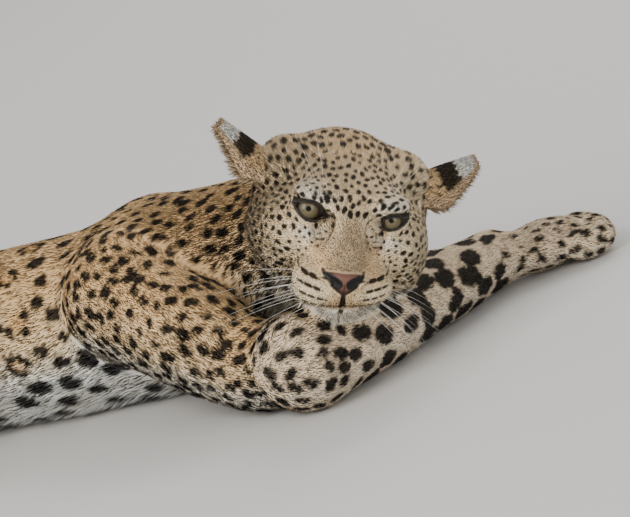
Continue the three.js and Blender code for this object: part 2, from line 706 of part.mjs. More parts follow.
// The tail in four lengths.
const tailRest = tail.intersect(box([HIP - 500, -400, -10], [TAIL_ROOT - GAP / 2, 400, 400]));
const bendCut = HIP - 300;
const tailFirst = tailRest.intersect(box([bendCut + GAP / 2, -110, -10], [400, 400, 400]));
const tailBend = tailRest.intersect(box([HIP - 500, -400, -10], [bendCut - GAP / 2, 400, 400]));
const tailLast = tailRest.intersect(box([bendCut + GAP / 2, -400, -10], [HIP - 150 - GAP / 2, -110, 400]));
const tailTip = tail.intersect(box([HIP - 150 + GAP / 2, -400, -10], [400, -150, 400]));
add("tail_root", grounded(tailFirst), COAT, 0.9);
add("tail_bend", grounded(tailBend), COAT, 0.9);
add("tail_length", grounded(tailLast), COAT, 0.9);
add("tail_tip", grounded(tailTip), COAT, 0.9);

export default parts;
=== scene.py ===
"""Looks of a life-size leopard lying with its chin on its right forearm.

Sizes are in millimetres until a mesh is written, which is in metres.
"""

import math

import bmesh
import bpy
import numpy as np
from mathutils import Matrix, Vector


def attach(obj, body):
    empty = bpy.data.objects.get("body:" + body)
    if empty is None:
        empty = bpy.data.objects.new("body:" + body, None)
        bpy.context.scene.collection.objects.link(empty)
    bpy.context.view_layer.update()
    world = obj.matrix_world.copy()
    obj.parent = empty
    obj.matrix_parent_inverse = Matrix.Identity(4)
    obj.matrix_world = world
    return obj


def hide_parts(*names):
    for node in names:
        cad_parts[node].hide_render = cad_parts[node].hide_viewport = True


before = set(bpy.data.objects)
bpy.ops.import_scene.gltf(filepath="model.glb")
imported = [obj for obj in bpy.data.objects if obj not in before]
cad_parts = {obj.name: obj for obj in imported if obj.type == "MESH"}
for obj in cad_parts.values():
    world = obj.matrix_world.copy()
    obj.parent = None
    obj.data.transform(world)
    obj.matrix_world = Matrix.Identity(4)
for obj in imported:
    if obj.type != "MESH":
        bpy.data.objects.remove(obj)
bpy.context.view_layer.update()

bl_info = {
    "name": "Resting Leopard",
    "version": (1, 0, 0),
    "blender": (4, 5, 0),
    "location": "View3D > Sidebar > Leopard",
    "description": "Builds the skin, coat, eyes, nose and whiskers of a resting leopard",
    "category": "Object",
}

MM = 0.001
FAR = 70.0

# Places shared with the solids
HEAD_CENTRE = (200, -105, 138)
HEAD_TURN, HEAD_DROP, HEAD_LEAN = -70.1, 6.4, -29.3
EYE_SPAN, EYE_RADIUS, LID = 72, 15.5, 2.4
CHIN_SHIFT = 0.13
NOSE_SHIFT, NOSE_ROLL, MOUTH_ROLL = 3.5, 0.05, 0.1
WITHERS, BACK, HALF_WIDTH = 172, 164, 86
CHEST_FRONT = 80
HIP = CHEST_FRONT - 650 * 0.87
SHOULDER = (-36, 60, 108)
ELBOW = {"right": (150, -164, 44), "left": (-132, 134, 42)}
ARM_MIDDLE = {"right": [(30, -106, 80, 54), (84, -130, 44.5, 45)], "left": [(-84, 101, 88, 53)]}
WRIST = {"right": (258, 62, 28), "left": (92, 118, 28)}
PAW_HEADING = {"right": 30, "left": -12}
KNEE = {"right": (-318, -104, 86), "left": (-326, 122, 86)}
HOCK = {"right": (-500, -128, 28), "left": (-508, 148, 28)}
HIND_WRIST = {"right": (-386, -152, 25), "left": (-394, 170, 25)}
HIND_HEADING = {"right": -8, "left": 10}
PAW_LENGTH = 119
TAIL_RADIUS = 25
SIDES = (("right", -1), ("left", 1))

# How deep the skin lies under the tips of the coat
COAT_DEPTH = {"body": 4.0, "head": 1.6, "lower_leg": 2.6, "tail": 4.5}

# Camera: azimuth, elevation and roll in degrees, and where the head stands in the frame
CAMERA_TURNS = (22, 14, 20)
CAMERA_DISTANCE = 6000.0
MM_PER_PIXEL = 0.87
FRAME_SIZE = (630, 517)
HEAD_IN_FRAME = (340, 225)


def unit(v):
    v = np.asarray(v, float)
    return v / np.maximum(np.linalg.norm(v, axis=-1, keepdims=True), 1e-9)


def linear(hex_colour):
    """A colour given as #RRGGBB in sRGB, as linear numbers."""
    c = np.array([int(hex_colour[i : i + 2], 16) / 255 for i in (1, 3, 5)])
    return np.where(c <= 0.04045, c / 12.92, ((c + 0.055) / 1.055) ** 2.4)


def lerp(a, b, t):
    return a + (b - a) * t


def step(x, low, high):
    t = np.clip((x - low) / (high - low), 0, 1)
    return t * t * (3 - 2 * t)


# The head's own axes: forward to the nose, left, and up through the crown
def head_axes():
    turn, drop, lean = (math.radians(a) for a in (HEAD_TURN, HEAD_DROP, HEAD_LEAN))
    f = np.array([math.cos(turn) * math.cos(drop), math.sin(turn) * math.cos(drop), -math.sin(drop)])
    level = np.array([-math.sin(turn), math.cos(turn), 0.0])
    left = level * math.cos(lean) + np.cross(f, level) * math.sin(lean)
    return np.stack([f, left, np.cross(f, left)])


HEAD_AXES = head_axes()


def to_head(p):
    return (np.asarray(p, float) - HEAD_CENTRE) @ HEAD_AXES.T


def from_head(p):
    return np.asarray(p, float) @ HEAD_AXES + HEAD_CENTRE


# Distance fields, read at many points at once
def blend(a, b, k):
    h = np.maximum(k - np.abs(a - b), 0) / k
    return np.minimum(a, b) - h * h * k * 0.25


def blend_all(fields, k):
    def field(p):
        d = np.full(len(p), FAR)
        for f in fields:
            d = blend(d, f(p), k)
        return d

    return field


def carve(d, tool, k):
    return -blend(-d, tool, k)


def near(p, low, high):
    return np.flatnonzero(np.all((p > low) & (p < high), axis=1))


def ellipsoid(centre, radii, axes=None):
    centre, radii = np.array(centre, float), np.array(radii, float)
    m = np.eye(3) if axes is None else np.array(axes)
    reach = radii.max() + 45

    def field(p):
        out = np.full(len(p), FAR)
        i = near(p, centre - reach, centre + reach)
        q = ((p[i] - centre) @ m.T) / radii
        k0 = np.linalg.norm(q, axis=1)
        k1 = np.maximum(np.linalg.norm(q / radii, axis=1), 1e-9)
        out[i] = np.where(k0 < 1e-6, -radii.min(), k0 * (k0 - 1) / k1)
        return out

    return field


def curve_points(stations, steps):
    """Points and radii along a smooth curve through the stations."""
    s = np.array(stations, float)
    pts = s[:, :3]
    pts = np.vstack([2 * pts[0] - pts[1], pts, 2 * pts[-1] - pts[-2]])
    rows = []
    for i in range(len(s) - 1):
        p0, p1, p2, p3 = pts[i : i + 4]
        d0, d1, d2 = (np.linalg.norm(b - a) ** 0.5 for a, b in ((p0, p1), (p1, p2), (p2, p3)))
        t1 = ((p1 - p0) / d0 - (p2 - p0) / (d0 + d1) + (p2 - p1) / d1) * d1
        t2 = ((p2 - p1) / d1 - (p3 - p1) / (d1 + d2) + (p3 - p2) / d2) * d1
        for j in range(steps + (i == len(s) - 2)):
            t = j / steps
            at = p1 + t1 * t + (3 * (p2 - p1) - 2 * t1 - t2) * t**2 + (2 * (p1 - p2) + t1 + t2) * t**3
            rows.append([*at, lerp(s[i, 3], s[i + 1, 3], t * t * (3 - 2 * t))])
    return np.array(rows)


def on_curve(p, samples):
    """Distance to a curve's flesh, place along it, and its direction there."""
    best = np.full(len(p), FAR)
    along = np.zeros(len(p))
    heading = np.zeros((len(p), 3))
    run = 0.0
    for a, b in zip(samples, samples[1:]):
        e = b[:3] - a[:3]
        size = np.linalg.norm(e)
        t = np.clip((p - a[:3]) @ e / size**2, 0, 1)
        d = np.linalg.norm(p - a[:3] - t[:, None] * e, axis=1) - lerp(a[3], b[3], t)
        closer = d < best
        best[closer] = d[closer]
        along[closer] = run + t[closer] * size
        heading[closer] = e / size
        run += size
    return best, along, heading


def limb(stations, steps=5):
    samples = curve_points(stations, steps)
    reach = samples[:, 3].max() + 45
    low, high = samples[:, :3].min(0) - reach, samples[:, :3].max(0) + reach

    def field(p):
        out = np.full(len(p), FAR)
        i = near(p, low, high)
        if len(i):
            out[i] = on_curve(p[i], samples)[0]
        return out

    field.samples = samples
    return field


def trunk(stations):
    s = np.array(stations, float)
    cap = 46

    def field(p):
        xc = np.clip(p[:, 0], s[-1, 0], s[0, 0])
        i = np.clip(len(s) - 1 - np.searchsorted(s[::-1, 0], xc, side="left"), 0, len(s) - 2)
        t = (s[i, 0] - xc) / (s[i, 0] - s[i + 1, 0])
        t = t * t * (3 - 2 * t)
        y0, z0, wide, above, below = (lerp(s[i, n], s[i + 1, n], t) for n in range(1, 6))
        tall = np.where(p[:, 2] > z0, above, below)
        q = np.stack([(p[:, 1] - y0) / wide, (p[:, 2] - z0) / tall, (p[:, 0] - xc) / cap], 1)
        k0 = np.linalg.norm(q, axis=1)
        k1 = np.linalg.norm(q / np.stack([wide, tall, np.full(len(p), cap)], 1), axis=1)
        return np.where(k0 < 1e-6, -wide, k0 * (k0 - 1) / np.maximum(k1, 1e-9))

    return field


def paw(wrist, heading, size=1.0):
    a = math.radians(heading)
    axes = np.array([[math.cos(a), math.sin(a), 0], [-math.sin(a), math.cos(a), 0], [0, 0, 1]])

    def place(along, side, height):
        p = axes[0] * along * size + axes[1] * side * size
        return (wrist[0] + p[0], wrist[1] + p[1], height * size)

    palm = ellipsoid(place(48, 0, 23), np.array([46, 34, 24]) * size, axes)
    toes = []
    for n in (-1.5, -0.5, 0.5, 1.5):
        reach = PAW_LENGTH - 26 - 5 * abs(n)
        toes.append(ellipsoid(place(reach, n * 18.5, 17), np.array([27, 11.5, 18]) * size, axes))
    return blend_all([palm, blend_all(toes, 3)], 8)


BODY = trunk(
    [
        (CHEST_FRONT, 0, 96, HALF_WIDTH * 0.72, 66, 70),
        (10, 0, 90, HALF_WIDTH * 0.97, WITHERS - 90, 94),
        (-110, 9, 88, HALF_WIDTH * 0.95, BACK - 88, 91),
        (-240, 22, 91, HALF_WIDTH * 0.9, BACK - 92, 90),
        (-360, 26, 95, HALF_WIDTH * 0.84, BACK - 92, 88),
        (HIP, 20, 95, HALF_WIDTH * 0.95, 82, 96),
        (HIP - 90, 12, 94, HALF_WIDTH * 0.7, 64, 66),
    ]
)
NECK = limb([(*from_head((-42, 0, -6)), 64), (128, -22, 116, 66), (60, -4, 102, 73), (-30, 0, 92, 76)])


def upper_arm(name, s):
    return limb([(SHOULDER[0], s * SHOULDER[1], SHOULDER[2], 56), *ARM_MIDDLE[name], (*ELBOW[name], 39)])


def thigh(name, s):
    k, h = KNEE[name], HOCK[name]
    upper = limb([(HIP - 8, s * 46, 116, 64), (lerp(HIP, k[0], 0.5), s * 82, 108, 60), (*k, 46)])
    lower = limb([(*k, 40), (lerp(k[0], h[0], 0.5), s * 116, 70, 42), (h[0], h[1], 44, 30)])
    field = blend_all([upper, lower], 26)
    field.parts = (upper, lower)
    return field


def forearm(name):
    e, w = ELBOW[name], WRIST[name]
    return limb(
        [
            (*e, 46),
            (lerp(e[0], w[0], 0.3), lerp(e[1], w[1], 0.3), 40, 44),
            (lerp(e[0], w[0], 0.7), lerp(e[1], w[1], 0.7), 32, 34),
            (*w, 29),
        ]
    )


def hind_foot(name):
    h, w = HOCK[name], HIND_WRIST[name]
    return limb([(h[0] - 12, h[1], 36, 27), (lerp(h[0], w[0], 0.5), lerp(h[1], w[1], 0.5), 26, 24), (*w, 25)])


TAIL = limb(
    [
        (HIP - 60, 0, 112, TAIL_RADIUS * 1.5),
        (HIP - 120, 4, 86, TAIL_RADIUS * 1.25),
        (HIP - 190, 16, 46, TAIL_RADIUS * 1.05),
        (HIP - 262, 18, 26, TAIL_RADIUS),
        (HIP - 330, -16, 24, TAIL_RADIUS * 0.98),
        (HIP - 360, -88, 23, TAIL_RADIUS * 0.96),
        (HIP - 338, -164, 23, TAIL_RADIUS * 0.93),
        (HIP - 272, -218, 22, TAIL_RADIUS * 0.9),
        (HIP - 188, -238, 21, TAIL_RADIUS * 0.88),
        (HIP - 104, -232, 20, TAIL_RADIUS * 0.84),
        (HIP - 48, -208, 19, TAIL_RADIUS * 0.66),
    ]
)
UPPER_ARM = {n: upper_arm(n, s) for n, s in SIDES}
FOREARM = {n: forearm(n) for n, s in SIDES}
THIGH = {n: thigh(n, s) for n, s in SIDES}
FOOT = {n: hind_foot(n) for n, s in SIDES}
FOREPAW = {n: paw(WRIST[n], PAW_HEADING[n]) for n, s in SIDES}
HINDPAW = {n: paw(HIND_WRIST[n], HIND_HEADING[n], 0.86) for n, s in SIDES}
BLADES = [ellipsoid((-26, s * 46, 118), (62, 36, 50)) for n, s in SIDES]
CORE = blend_all([BODY, NECK, *BLADES, *THIGH.values(), TAIL], 24)


def both(make):
    return [make(s) for n, s in SIDES]


def eye_centre(s):
    return np.array([43.5, s * EYE_SPAN / 2, 25.5])


HEAD_BASE = blend_all(
    [
        ellipsoid((-38, 0, 18), (70, 61, 54)),
        ellipsoid((18, 0, 26), (50, 47, 31)),
        ellipsoid((34, 0, 2), (38, 50, 28)),
        limb([(30, 0, 4, 34), (62, 0, -10, 28), (84, 0, -22, 22)]),
        *both(lambda s: ellipsoid((-10, s * 44, -14), (54, 37, 44))),
        *both(lambda s: ellipsoid((26, s * 46, 2), (30, 20, 20))),
        *both(lambda s: ellipsoid((-38, s * 54, 32), (28, 24, 28))),
        ellipsoid((-10, 0, -44), (58, 38, 26)),
    ],
    22,
)
FACE = blend_all(
    [
        HEAD_BASE,
        limb([(46, 0, 17, 17), (74, 0, 2, 14), (97, 0, -17, 11)]),
        *both(lambda s: ellipsoid((42, s * 32, 41), (20, 20, 8))),
        *both(lambda s: ellipsoid((79, s * 20, -29.5), (27, 23, 15))),
        *both(lambda s: ellipsoid((73, s * 31, -22), (21, 13, 12))),
    ],
    12,
)
LIDS = blend_all([FACE, *both(lambda s: ellipsoid(eye_centre(s), [EYE_RADIUS + LID] * 3))], 6)
NOSE = blend_all(
    [
        ellipsoid((97, 0, -14), (12, 18, 9)),
        *both(lambda s: ellipsoid((99, s * 14, -14), (8, 6, 6.5))),
        limb([(102, 0, -14, 7), (103, 0, -24, 4.5)]),
    ],
    4,
)
NOSTRIL_LINE = [(110, 6.5, -16.5, 2.2), (109, 10.5, -14.8, 3.2), (105.5, 15.5, -12, 2.4), (99, 20, -9.5, 1.0)]
NOSTRIL = {s: limb([(f, s * l, u, r) for f, l, u, r in NOSTRIL_LINE]) for n, s in SIDES}
JAW = blend_all(
    [
        ellipsoid((70, 0, -50), (21, 21, 13)),
        *both(lambda s: limb([(56, s * 12, -49, 14), (10, s * 26, -48, 20)])),
    ],
    10,
)
SEAM = limb([(109, 0, -25, 1.0), (105, 0, -36, 1.5), (99, 0, -50, 1.8)])


# Shape of the opening between the lids, in a plane across the gaze
LID_HALF_WIDTH = {-1: 16.0, 1: 14.8}
LID_SLANT = {-1: 18, 1: 21}
LID_RISE = {-1: 6.7, 1: 4.6}
LID_DROP = {-1: 7.4, 1: 6.0}


def eye_axes(s):
    """Outward along the slit, up across it, and out along the gaze, in the head's frame."""
    gaze = unit((1, s * 0.1, 0.22))
    outward = unit(np.array([0, s, 0]) - s * gaze[1] * gaze)
    high = unit(np.cross(gaze, outward) * s)
    a = math.radians(LID_SLANT[s])
    along = unit(outward * math.cos(a) + high * math.sin(a))
    across = unit(high * math.cos(a) - outward * math.sin(a))
    return along, across, gaze


def lid_lines(t, s):
    """Heights of the upper and lower lid's edge for t from -1, at the nose, to 1."""
    t = np.clip(t, -1, 1)
    arch = (1 - t * t) * np.where(t < -0.55, 0.8 + 0.2 * (t + 1) / 0.45, 1)
    return LID_RISE[s] * arch * (1 - 0.45 * t), -LID_DROP[s] * arch * (1 - 0.15 * t)


def lid_opening(h, s):
    """Distance to the edge of the opening, less than zero within it, and the depth along the gaze."""
    a, b, g = eye_axes(s)
    q = h - eye_centre(s)
    x, y, z = q @ a, q @ b, q @ g
    top, bottom = lid_lines(x / LID_HALF_WIDTH[s], s)
    edge = np.maximum(np.maximum(y - top, bottom - y), np.abs(x) - LID_HALF_WIDTH[s]) * 0.85
    floor = 13.3 * np.sqrt(np.maximum(1 - (x * x + y * y) / 361, 0.1))
    return edge, z - floor


def pressed(h):
    q = h.copy()
    f, l, u = h.T
    ahead = step(f, 50, 95)
    q[:, 1] += CHIN_SHIFT * np.minimum(u + 12, 0) + NOSE_SHIFT * ahead
    q[:, 2] -= ahead * l * (NOSE_ROLL + MOUTH_ROLL * step(-u, 12, 42))
    return q


def head_field(p, detail=True):
    h = pressed(to_head(p))
    d = blend(LIDS(h), NOSE(h), 5)
    d = carve(d, SEAM(h), 3)
    for n, s in SIDES:
        d = carve(d, ellipsoid((68, s * 25, 12), (10, 6, 8))(h), 9)
        d = carve(d, ellipsoid((61, s * 21, 21), (8, 6, 7))(h), 9)
    if detail:
        for n, s in SIDES:
            edge, above = lid_opening(h, s)
            d = carve(d, np.maximum(edge + 1.3, -above), 1.0)
            d = carve(d, NOSTRIL[s](h), 1.5)
    return blend(d, JAW(h), 3)


def skin_field(p):
    head = head_field(p)
    clear = step(head, 2, 24)
    body = CORE(p)
    for n, s in SIDES:
        body = blend(body, UPPER_ARM[n](p), 18)
    d = blend(body, head, 1 + 19 * (1 - step(to_head(p)[:, 0], -20, 20)))
    for n, s in SIDES:
        fore = blend(FOREARM[n](p), FOREPAW[n](p), 14)
        close = (1 - step(np.linalg.norm(p - ELBOW[n], axis=1), 62, 105)) * clear
        d = blend(d, fore, 1 + 15 * close)
        hind = blend(FOOT[n](p), HINDPAW[n](p), 12)
        close = 1 - step(np.linalg.norm(p - HOCK[n], axis=1), 50, 85)
        d = blend(d, hind, 1 + 11 * close)
    return d


TETRA = np.array([(1, -1, -1), (-1, -1, 1), (-1, 1, -1), (1, 1, 1)], float)


def settle(p, depth, rounds=3, most=5.0):
    """Moves points onto the body's surface, a coat's depth inside it."""
    for n in range(rounds):
        values = [skin_field(p + 0.5 * e) for e in TETRA]
        slope = sum(v[:, None] * e for v, e in zip(values, TETRA)) / 2.0
        d = sum(values) / 4 + depth
        size = np.maximum(np.sum(slope * slope, axis=1), 0.3)
        move = np.clip(d / size, -most, most)
        p = p - move[:, None] * slope
    return p


# Parts of the body, for the lie, length and colour of the coat
SPINE = [(70, 0, 96, 74), (-110, 9, 88, 82), (-240, 22, 91, 78), (-360, 26, 95, 74), (HIP - 90, 12, 94, 70)]
LINES = {"neck": NECK.samples, "back": curve_points(SPINE, 3), "tail": TAIL.samples}


def leg_line(limb_field, wrist, heading, reach, height, radius):
    """The line of a lower leg, carried on through its paw."""
    a = math.radians(heading)
    tip = (wrist[0] + reach * math.cos(a), wrist[1] + reach * math.sin(a), height, radius)
    return np.vstack([limb_field.samples, tip])


for _n, _s in SIDES:
    LINES["arm_" + _n] = UPPER_ARM[_n].samples
    LINES["fore_" + _n] = leg_line(FOREARM[_n], WRIST[_n], PAW_HEADING[_n], 110, 18, 26)
    LINES["thigh_" + _n] = THIGH[_n].parts[0].samples
    LINES["shank_" + _n] = THIGH[_n].parts[1].samples
    LINES["foot_" + _n] = leg_line(FOOT[_n], HIND_WRIST[_n], HIND_HEADING[_n], 95, 16, 22)
PARTS = ["head", *LINES]


def body_map(p):
    """For each point: its part, the lie of the coat, and its place along that part."""
    head = head_field(p, detail=False)
    lie_head = unit(to_head(p) - (112, 0, -14)) @ HEAD_AXES
    best, part = head - 4, np.zeros(len(p), int)
    place = np.zeros(len(p))
    total = np.exp(-np.clip(head, 0, 60) / 9)[:, None] * lie_head
    for i, (name, samples) in enumerate(LINES.items(), 1):
        reach = samples[:, 3].max() + 40
        k = near(p, samples[:, :3].min(0) - reach, samples[:, :3].max(0) + reach)
        if not len(k):
            continue
        d, along, heading = on_curve(p[k], samples)
        win = k[d < best[k]]
        place[win] = along[d < best[k]]
        part[win] = i
        best[win] = d[d < best[k]]
        total[k] += np.exp(-np.clip(d, 0, 60) / 9)[:, None] * heading
    total[:, 2] -= 0.12
    return part, total, place


def ripple(p, size, seed):
    """Smooth noise from -1 to 1 with bumps of about the given size."""
    rng = np.random.default_rng(seed)
    out = np.zeros(len(p))
    for n in range(6):
        k = unit(rng.normal(size=3)) * (2 * math.pi / size) * rng.uniform(0.6, 1.5)
        out += np.sin(p @ k + rng.uniform(0, 6.3))
    return out / 3.2


# Mesh helpers
def mesh_object(name, verts, faces):
    mesh = bpy.data.meshes.new(name)
    faces = np.asarray(faces)
    corners = faces.shape[1]
    mesh.vertices.add(len(verts))
    mesh.vertices.foreach_set("co", np.ascontiguousarray(verts, dtype=np.float32).ravel())
    mesh.loops.add(faces.size)
    mesh.loops.foreach_set("vertex_index", faces.astype(np.int32).ravel())
    mesh.polygons.add(len(faces))
    mesh.polygons.foreach_set("loop_start", np.arange(0, faces.size, corners, dtype=np.int32))
    mesh.update(calc_edges=True)
    mesh.validate()
    mesh.shade_smooth()
    obj = bpy.data.objects.new(name, mesh)
    bpy.context.scene.collection.objects.link(obj)
    return obj


def paint(mesh, name, values):
    """Stores one number or one colour for each vertex."""
    values = np.asarray(values, dtype=np.float32)
    if values.ndim == 1:
        layer = mesh.attributes.new(name, "FLOAT", "POINT")
        layer.data.foreach_set("value", values)
    else:
        layer = mesh.attributes.new(name, "FLOAT_COLOR", "POINT")
        values = np.hstack([values, np.ones((len(values), 1))])
        layer.data.foreach_set("color", values.astype(np.float32).ravel())


def vertices_of(mesh):
    co = np.empty(len(mesh.vertices) * 3, np.float32)
    mesh.vertices.foreach_get("co", co)
    return co.reshape(-1, 3).astype(float)


def normals_of(mesh):
    normal = np.empty(len(mesh.vertices) * 3, np.float32)
    mesh.vertices.foreach_get("normal", normal)
    return normal.reshape(-1, 3).astype(float)


def face_outwards(mesh, merge=0.0):
    """Merges doubles where asked to, and turns the faces outwards."""
    bm = bmesh.new()
    bm.from_mesh(mesh)
    if merge:
        bmesh.ops.remove_doubles(bm, verts=bm.verts, dist=merge)
    bmesh.ops.recalc_face_normals(bm, faces=bm.faces)
    bm.to_mesh(mesh)
    bm.free()


def band_faces(rings, turns, start=0):
    """Quads between rings of vertices that follow one another."""
    faces = []
    for i in range(rings):
        for j in range(turns):
            k = (j + 1) % turns
            a = start + i * turns
            faces.append((a + j, a + k, a + turns + k, a + turns + j))
    return faces


def triangles_of(mesh):
    mesh.calc_loop_triangles()
    tri = np.empty(len(mesh.loop_triangles) * 3, np.int32)
    mesh.loop_triangles.foreach_get("vertices", tri)
    return tri.reshape(-1, 3)


# Colours of the coat
GOLD = linear("#DDB27A")
TAN = linear("#E9C99C")
PALE = linear("#F1DDB8")
FOREARM_TAN = linear("#E2CDB0")
WHITE = linear("#FFFBF2")
BRIDGE = linear("#A08768")
BLACK = linear("#120E0C")
ROSETTE = linear("#D39C58")
LEATHER = linear("#734C40")


def mix(a, b, t):
    return a + (b - a) * np.reshape(t, (-1, 1))


def bell(x, middle, spread):
    return np.exp(-(((x - middle) / spread) ** 2))


def base_colour(p, normal, part):
    """The coat's ground colour, without its spots."""
    names = np.array(PARTS)[part]
    up = normal[:, 2]
    colour = mix(np.tile(TAN, (len(p), 1)), GOLD, 0.85 * step(up, 0.1, 0.85))
    colour = mix(colour, PALE, 0.8 * step(-up, -0.2, 0.3))
    limb_part = ~np.isin(names, ["back", "neck"]) & (names != "head") & (names != "tail")
    belly = np.where(names == "back", 1.0, 0.35 * (names == "neck") + 0.6 * limb_part)
    colour = mix(colour, WHITE, step(-up, 0.0, 0.45) * belly)
    colour = mix(colour, FOREARM_TAN, 0.75 * np.char.startswith(names, "fo"))
    colour = mix(colour, WHITE, (names == "tail") * step(-up, -0.1, 0.5) * 0.8)
    h = to_head(p)
    f, l, u = h[:, 0], np.abs(h[:, 1]), h[:, 2]
    head = (names == "head") * 1.0
    colour = mix(colour, PALE, head * 0.55)
    colour = mix(colour, GOLD, head * 0.5 * step(u, 45, 75) * step(-f, -40, 10))
    colour = mix(colour, WHITE, 0.6 * head * step(f, 20, 38) * bell(l, 36, 14) * bell(u, 42, 6))
    colour = mix(colour, WHITE, 0.55 * head * step(f, 20, 40) * bell(l, 33, 13) * bell(u, 9, 5))
    middle = lerp(24, 11, step(u, -8, 30))
    bridge = step(f, 42, 60) * (1 - step(l, middle - 9, middle + 4))
    bridge = bridge * step(u, -16, -4) * (1 - step(u, 22, 46))
    colour = mix(colour, BRIDGE, 0.85 * head * bridge)
    colour = mix(colour, GOLD, 0.6 * head * step(f, 40, 60) * bell(u, -6, 14) * bell(l, 24, 9))
    colour = mix(colour, PALE, 0.7 * head * step(f, 62, 78) * step(-u, 14, 26) * step(l, 8, 18))
    colour = mix(colour, GOLD, 0.5 * head * step(f, 80, 92) * step(-u, 14, 20) * (1 - step(l, 8, 20)))
    colour = mix(colour, WHITE, 0.6 * head * step(-u, 40, 50))
    shade = 1 + 0.06 * ripple(p, 60, 4) + 0.05 * ripple(p, 16, 5)
    return np.clip(colour * shade[:, None], 0, 1)


def stroke(h, a, b, wide_a, wide_b):
    """How far inside a tapering stroke between two places on the head, in millimetres."""
    a, b = np.array(a, float), np.array(b, float)
    t = np.clip((h - a) @ (b - a) / np.sum((b - a) ** 2), 0, 1)
    return lerp(wide_a, wide_b, t) - np.linalg.norm(h - a - t[:, None] * (b - a), axis=1)


def whisker_rows(h):
    """Rows of dark dashes on the whisker pads, rising away from the nose."""
    l, u = np.abs(h[:, 1]), h[:, 2]
    level = (-17 - u + 0.2 * (l - 20)) / 6.9
    row = np.clip(np.round(level), 0, 3)
    beat = np.mod(l + 2.9 * row, 7.4) / 7.4
    across = np.abs(level - row) * 6.9
    along = np.maximum(np.abs(beat - 0.5) * 7.4 - 2.2, 0)
    start = np.array([19, 16, 12, 7])[row.astype(int)]
    size = (1.55 - 0.22 * row) * (1 - step(l, 33, 44)) * step(l, start, start + 4)
    here = (h[:, 0] > 60) & (u > -43)
    return np.where(here, size - np.hypot(across, along), -9)


LIP_LINE = [(99, 0, -39.5), (94, 7, -43.5), (88, 15, -45), (77, 26, -44), (60, 33, -40), (46, 38, -34)]


def face_marks(p):
    """Dark lids, corners of the eyes, lips and the dashes on the whisker pads."""
    dark = np.full(len(p), -9.0)
    h = pressed(to_head(p))
    use = near(h, np.array([20, -75, -75]), np.array([125, 75, 75]))
    q = h[use]
    if not len(use):
        return dark
    d = whisker_rows(q)
    for n, s in SIDES:
        edge, above = lid_opening(q, s)
        a, b, g = eye_axes(s)
        off = q - eye_centre(s)
        upper = step(off @ b, -2, 3)
        rim = lerp(1.7, 3.3, upper) + 0.8 * upper * step(off @ a, 2, 14)
        d = np.maximum(d, np.where(above > -4, rim - edge, -9))
        inner = eye_centre(s) - a * (LID_HALF_WIDTH[s] - 3) + g * 8.5
        d = np.maximum(d, stroke(q, inner, inner + (2, -s * 4.0, -5), 4.8, 3.0))
        d = np.maximum(d, stroke(q, inner + (2, -s * 4.0, -5), inner + (4, -s * 4.5, -11), 3.0, 0.6))
        outer = eye_centre(s) + a * LID_HALF_WIDTH[s] + g * 8
        d = np.maximum(d, stroke(q, outer, outer + (-4, s * 5, 1), 2.4, 0.6))
        d = np.maximum(d, stroke(q, (61, s * 25, 42), (50, s * 24, 58), 1.9, 2.6))
        d = np.maximum(d, stroke(q, (58, s * 34, 44), (52, s * 36, 50), 1.6, 2.0))
        lip = [(f, s * l, u) for f, l, u in LIP_LINE]
        for i in range(5):
            d = np.maximum(d, stroke(q, lip[i], lip[i + 1], 2.3 - 0.35 * i, 1.95 - 0.35 * i))
        d = np.maximum(d, stroke(q, (94, s * 3, -45), (87, s * 14, -46.5), 3.2, 1.4))
    d = np.maximum(d, stroke(q, (109, 0, -24), (99, 0, -40), 2.3, 3.0))
    d = np.maximum(d, stroke(q, (99, 0, -41), (91, 0, -47), 3.2, 3.4))
    for n, s in SIDES:
        d = np.maximum(d, stroke(q, (109, s * 2, -25), (100, s * 20, -12.5), 1.9, 0.8))
    dark[use] = d
    return dark


def nose_share(h):
    """1 on the bare leather of the nose, falling to 0 at its edge."""
    f, l, u = h[:, 0], np.abs(h[:, 1]), h[:, 2]
    half = np.interp(u, [-28, -24.5, -20, -16, -12, -8], [1.5, 4.5, 9.5, 14.5, 18.5, 21])
    top = -7.2 - 0.006 * l * l
    edge = np.minimum(np.minimum(half - l, top - u), u + 28.5)
    return np.where(f > 88, step(edge, -0.4, 0.6), 0)


def nose_colour(h):
    """Pink middle and dark wings, with the nostrils painted near-black as painted shade inside the holes."""
    l, u = np.abs(h[:, 1]), h[:, 2]
    colour = mix(np.tile(LEATHER, (len(h), 1)), linear("#2E211C"), 0.9 * step(l, 7, 13))
    colour = mix(colour, linear("#5C3C33"), 0.7 * step(u, -11, -7.5))
    side = (l + 1.35 * (-u - 24)) / 6
    colour = mix(colour, linear("#1D1411"), 0.9 * step(side, -0.6, 0.4))
    hole = np.minimum(NOSTRIL[1](h), NOSTRIL[-1](h))
    # Painted shade: the nostril holes and a thin margin round them are painted near-black for the shade
    # inside them
    colour = mix(colour, linear("#060504"), step(-hole, -3.8, -2.2))
    return mix(colour, linear("#160F0D"), 0.9 * bell(h[:, 1], 0, 0.8) * step(-u, 14, 18))


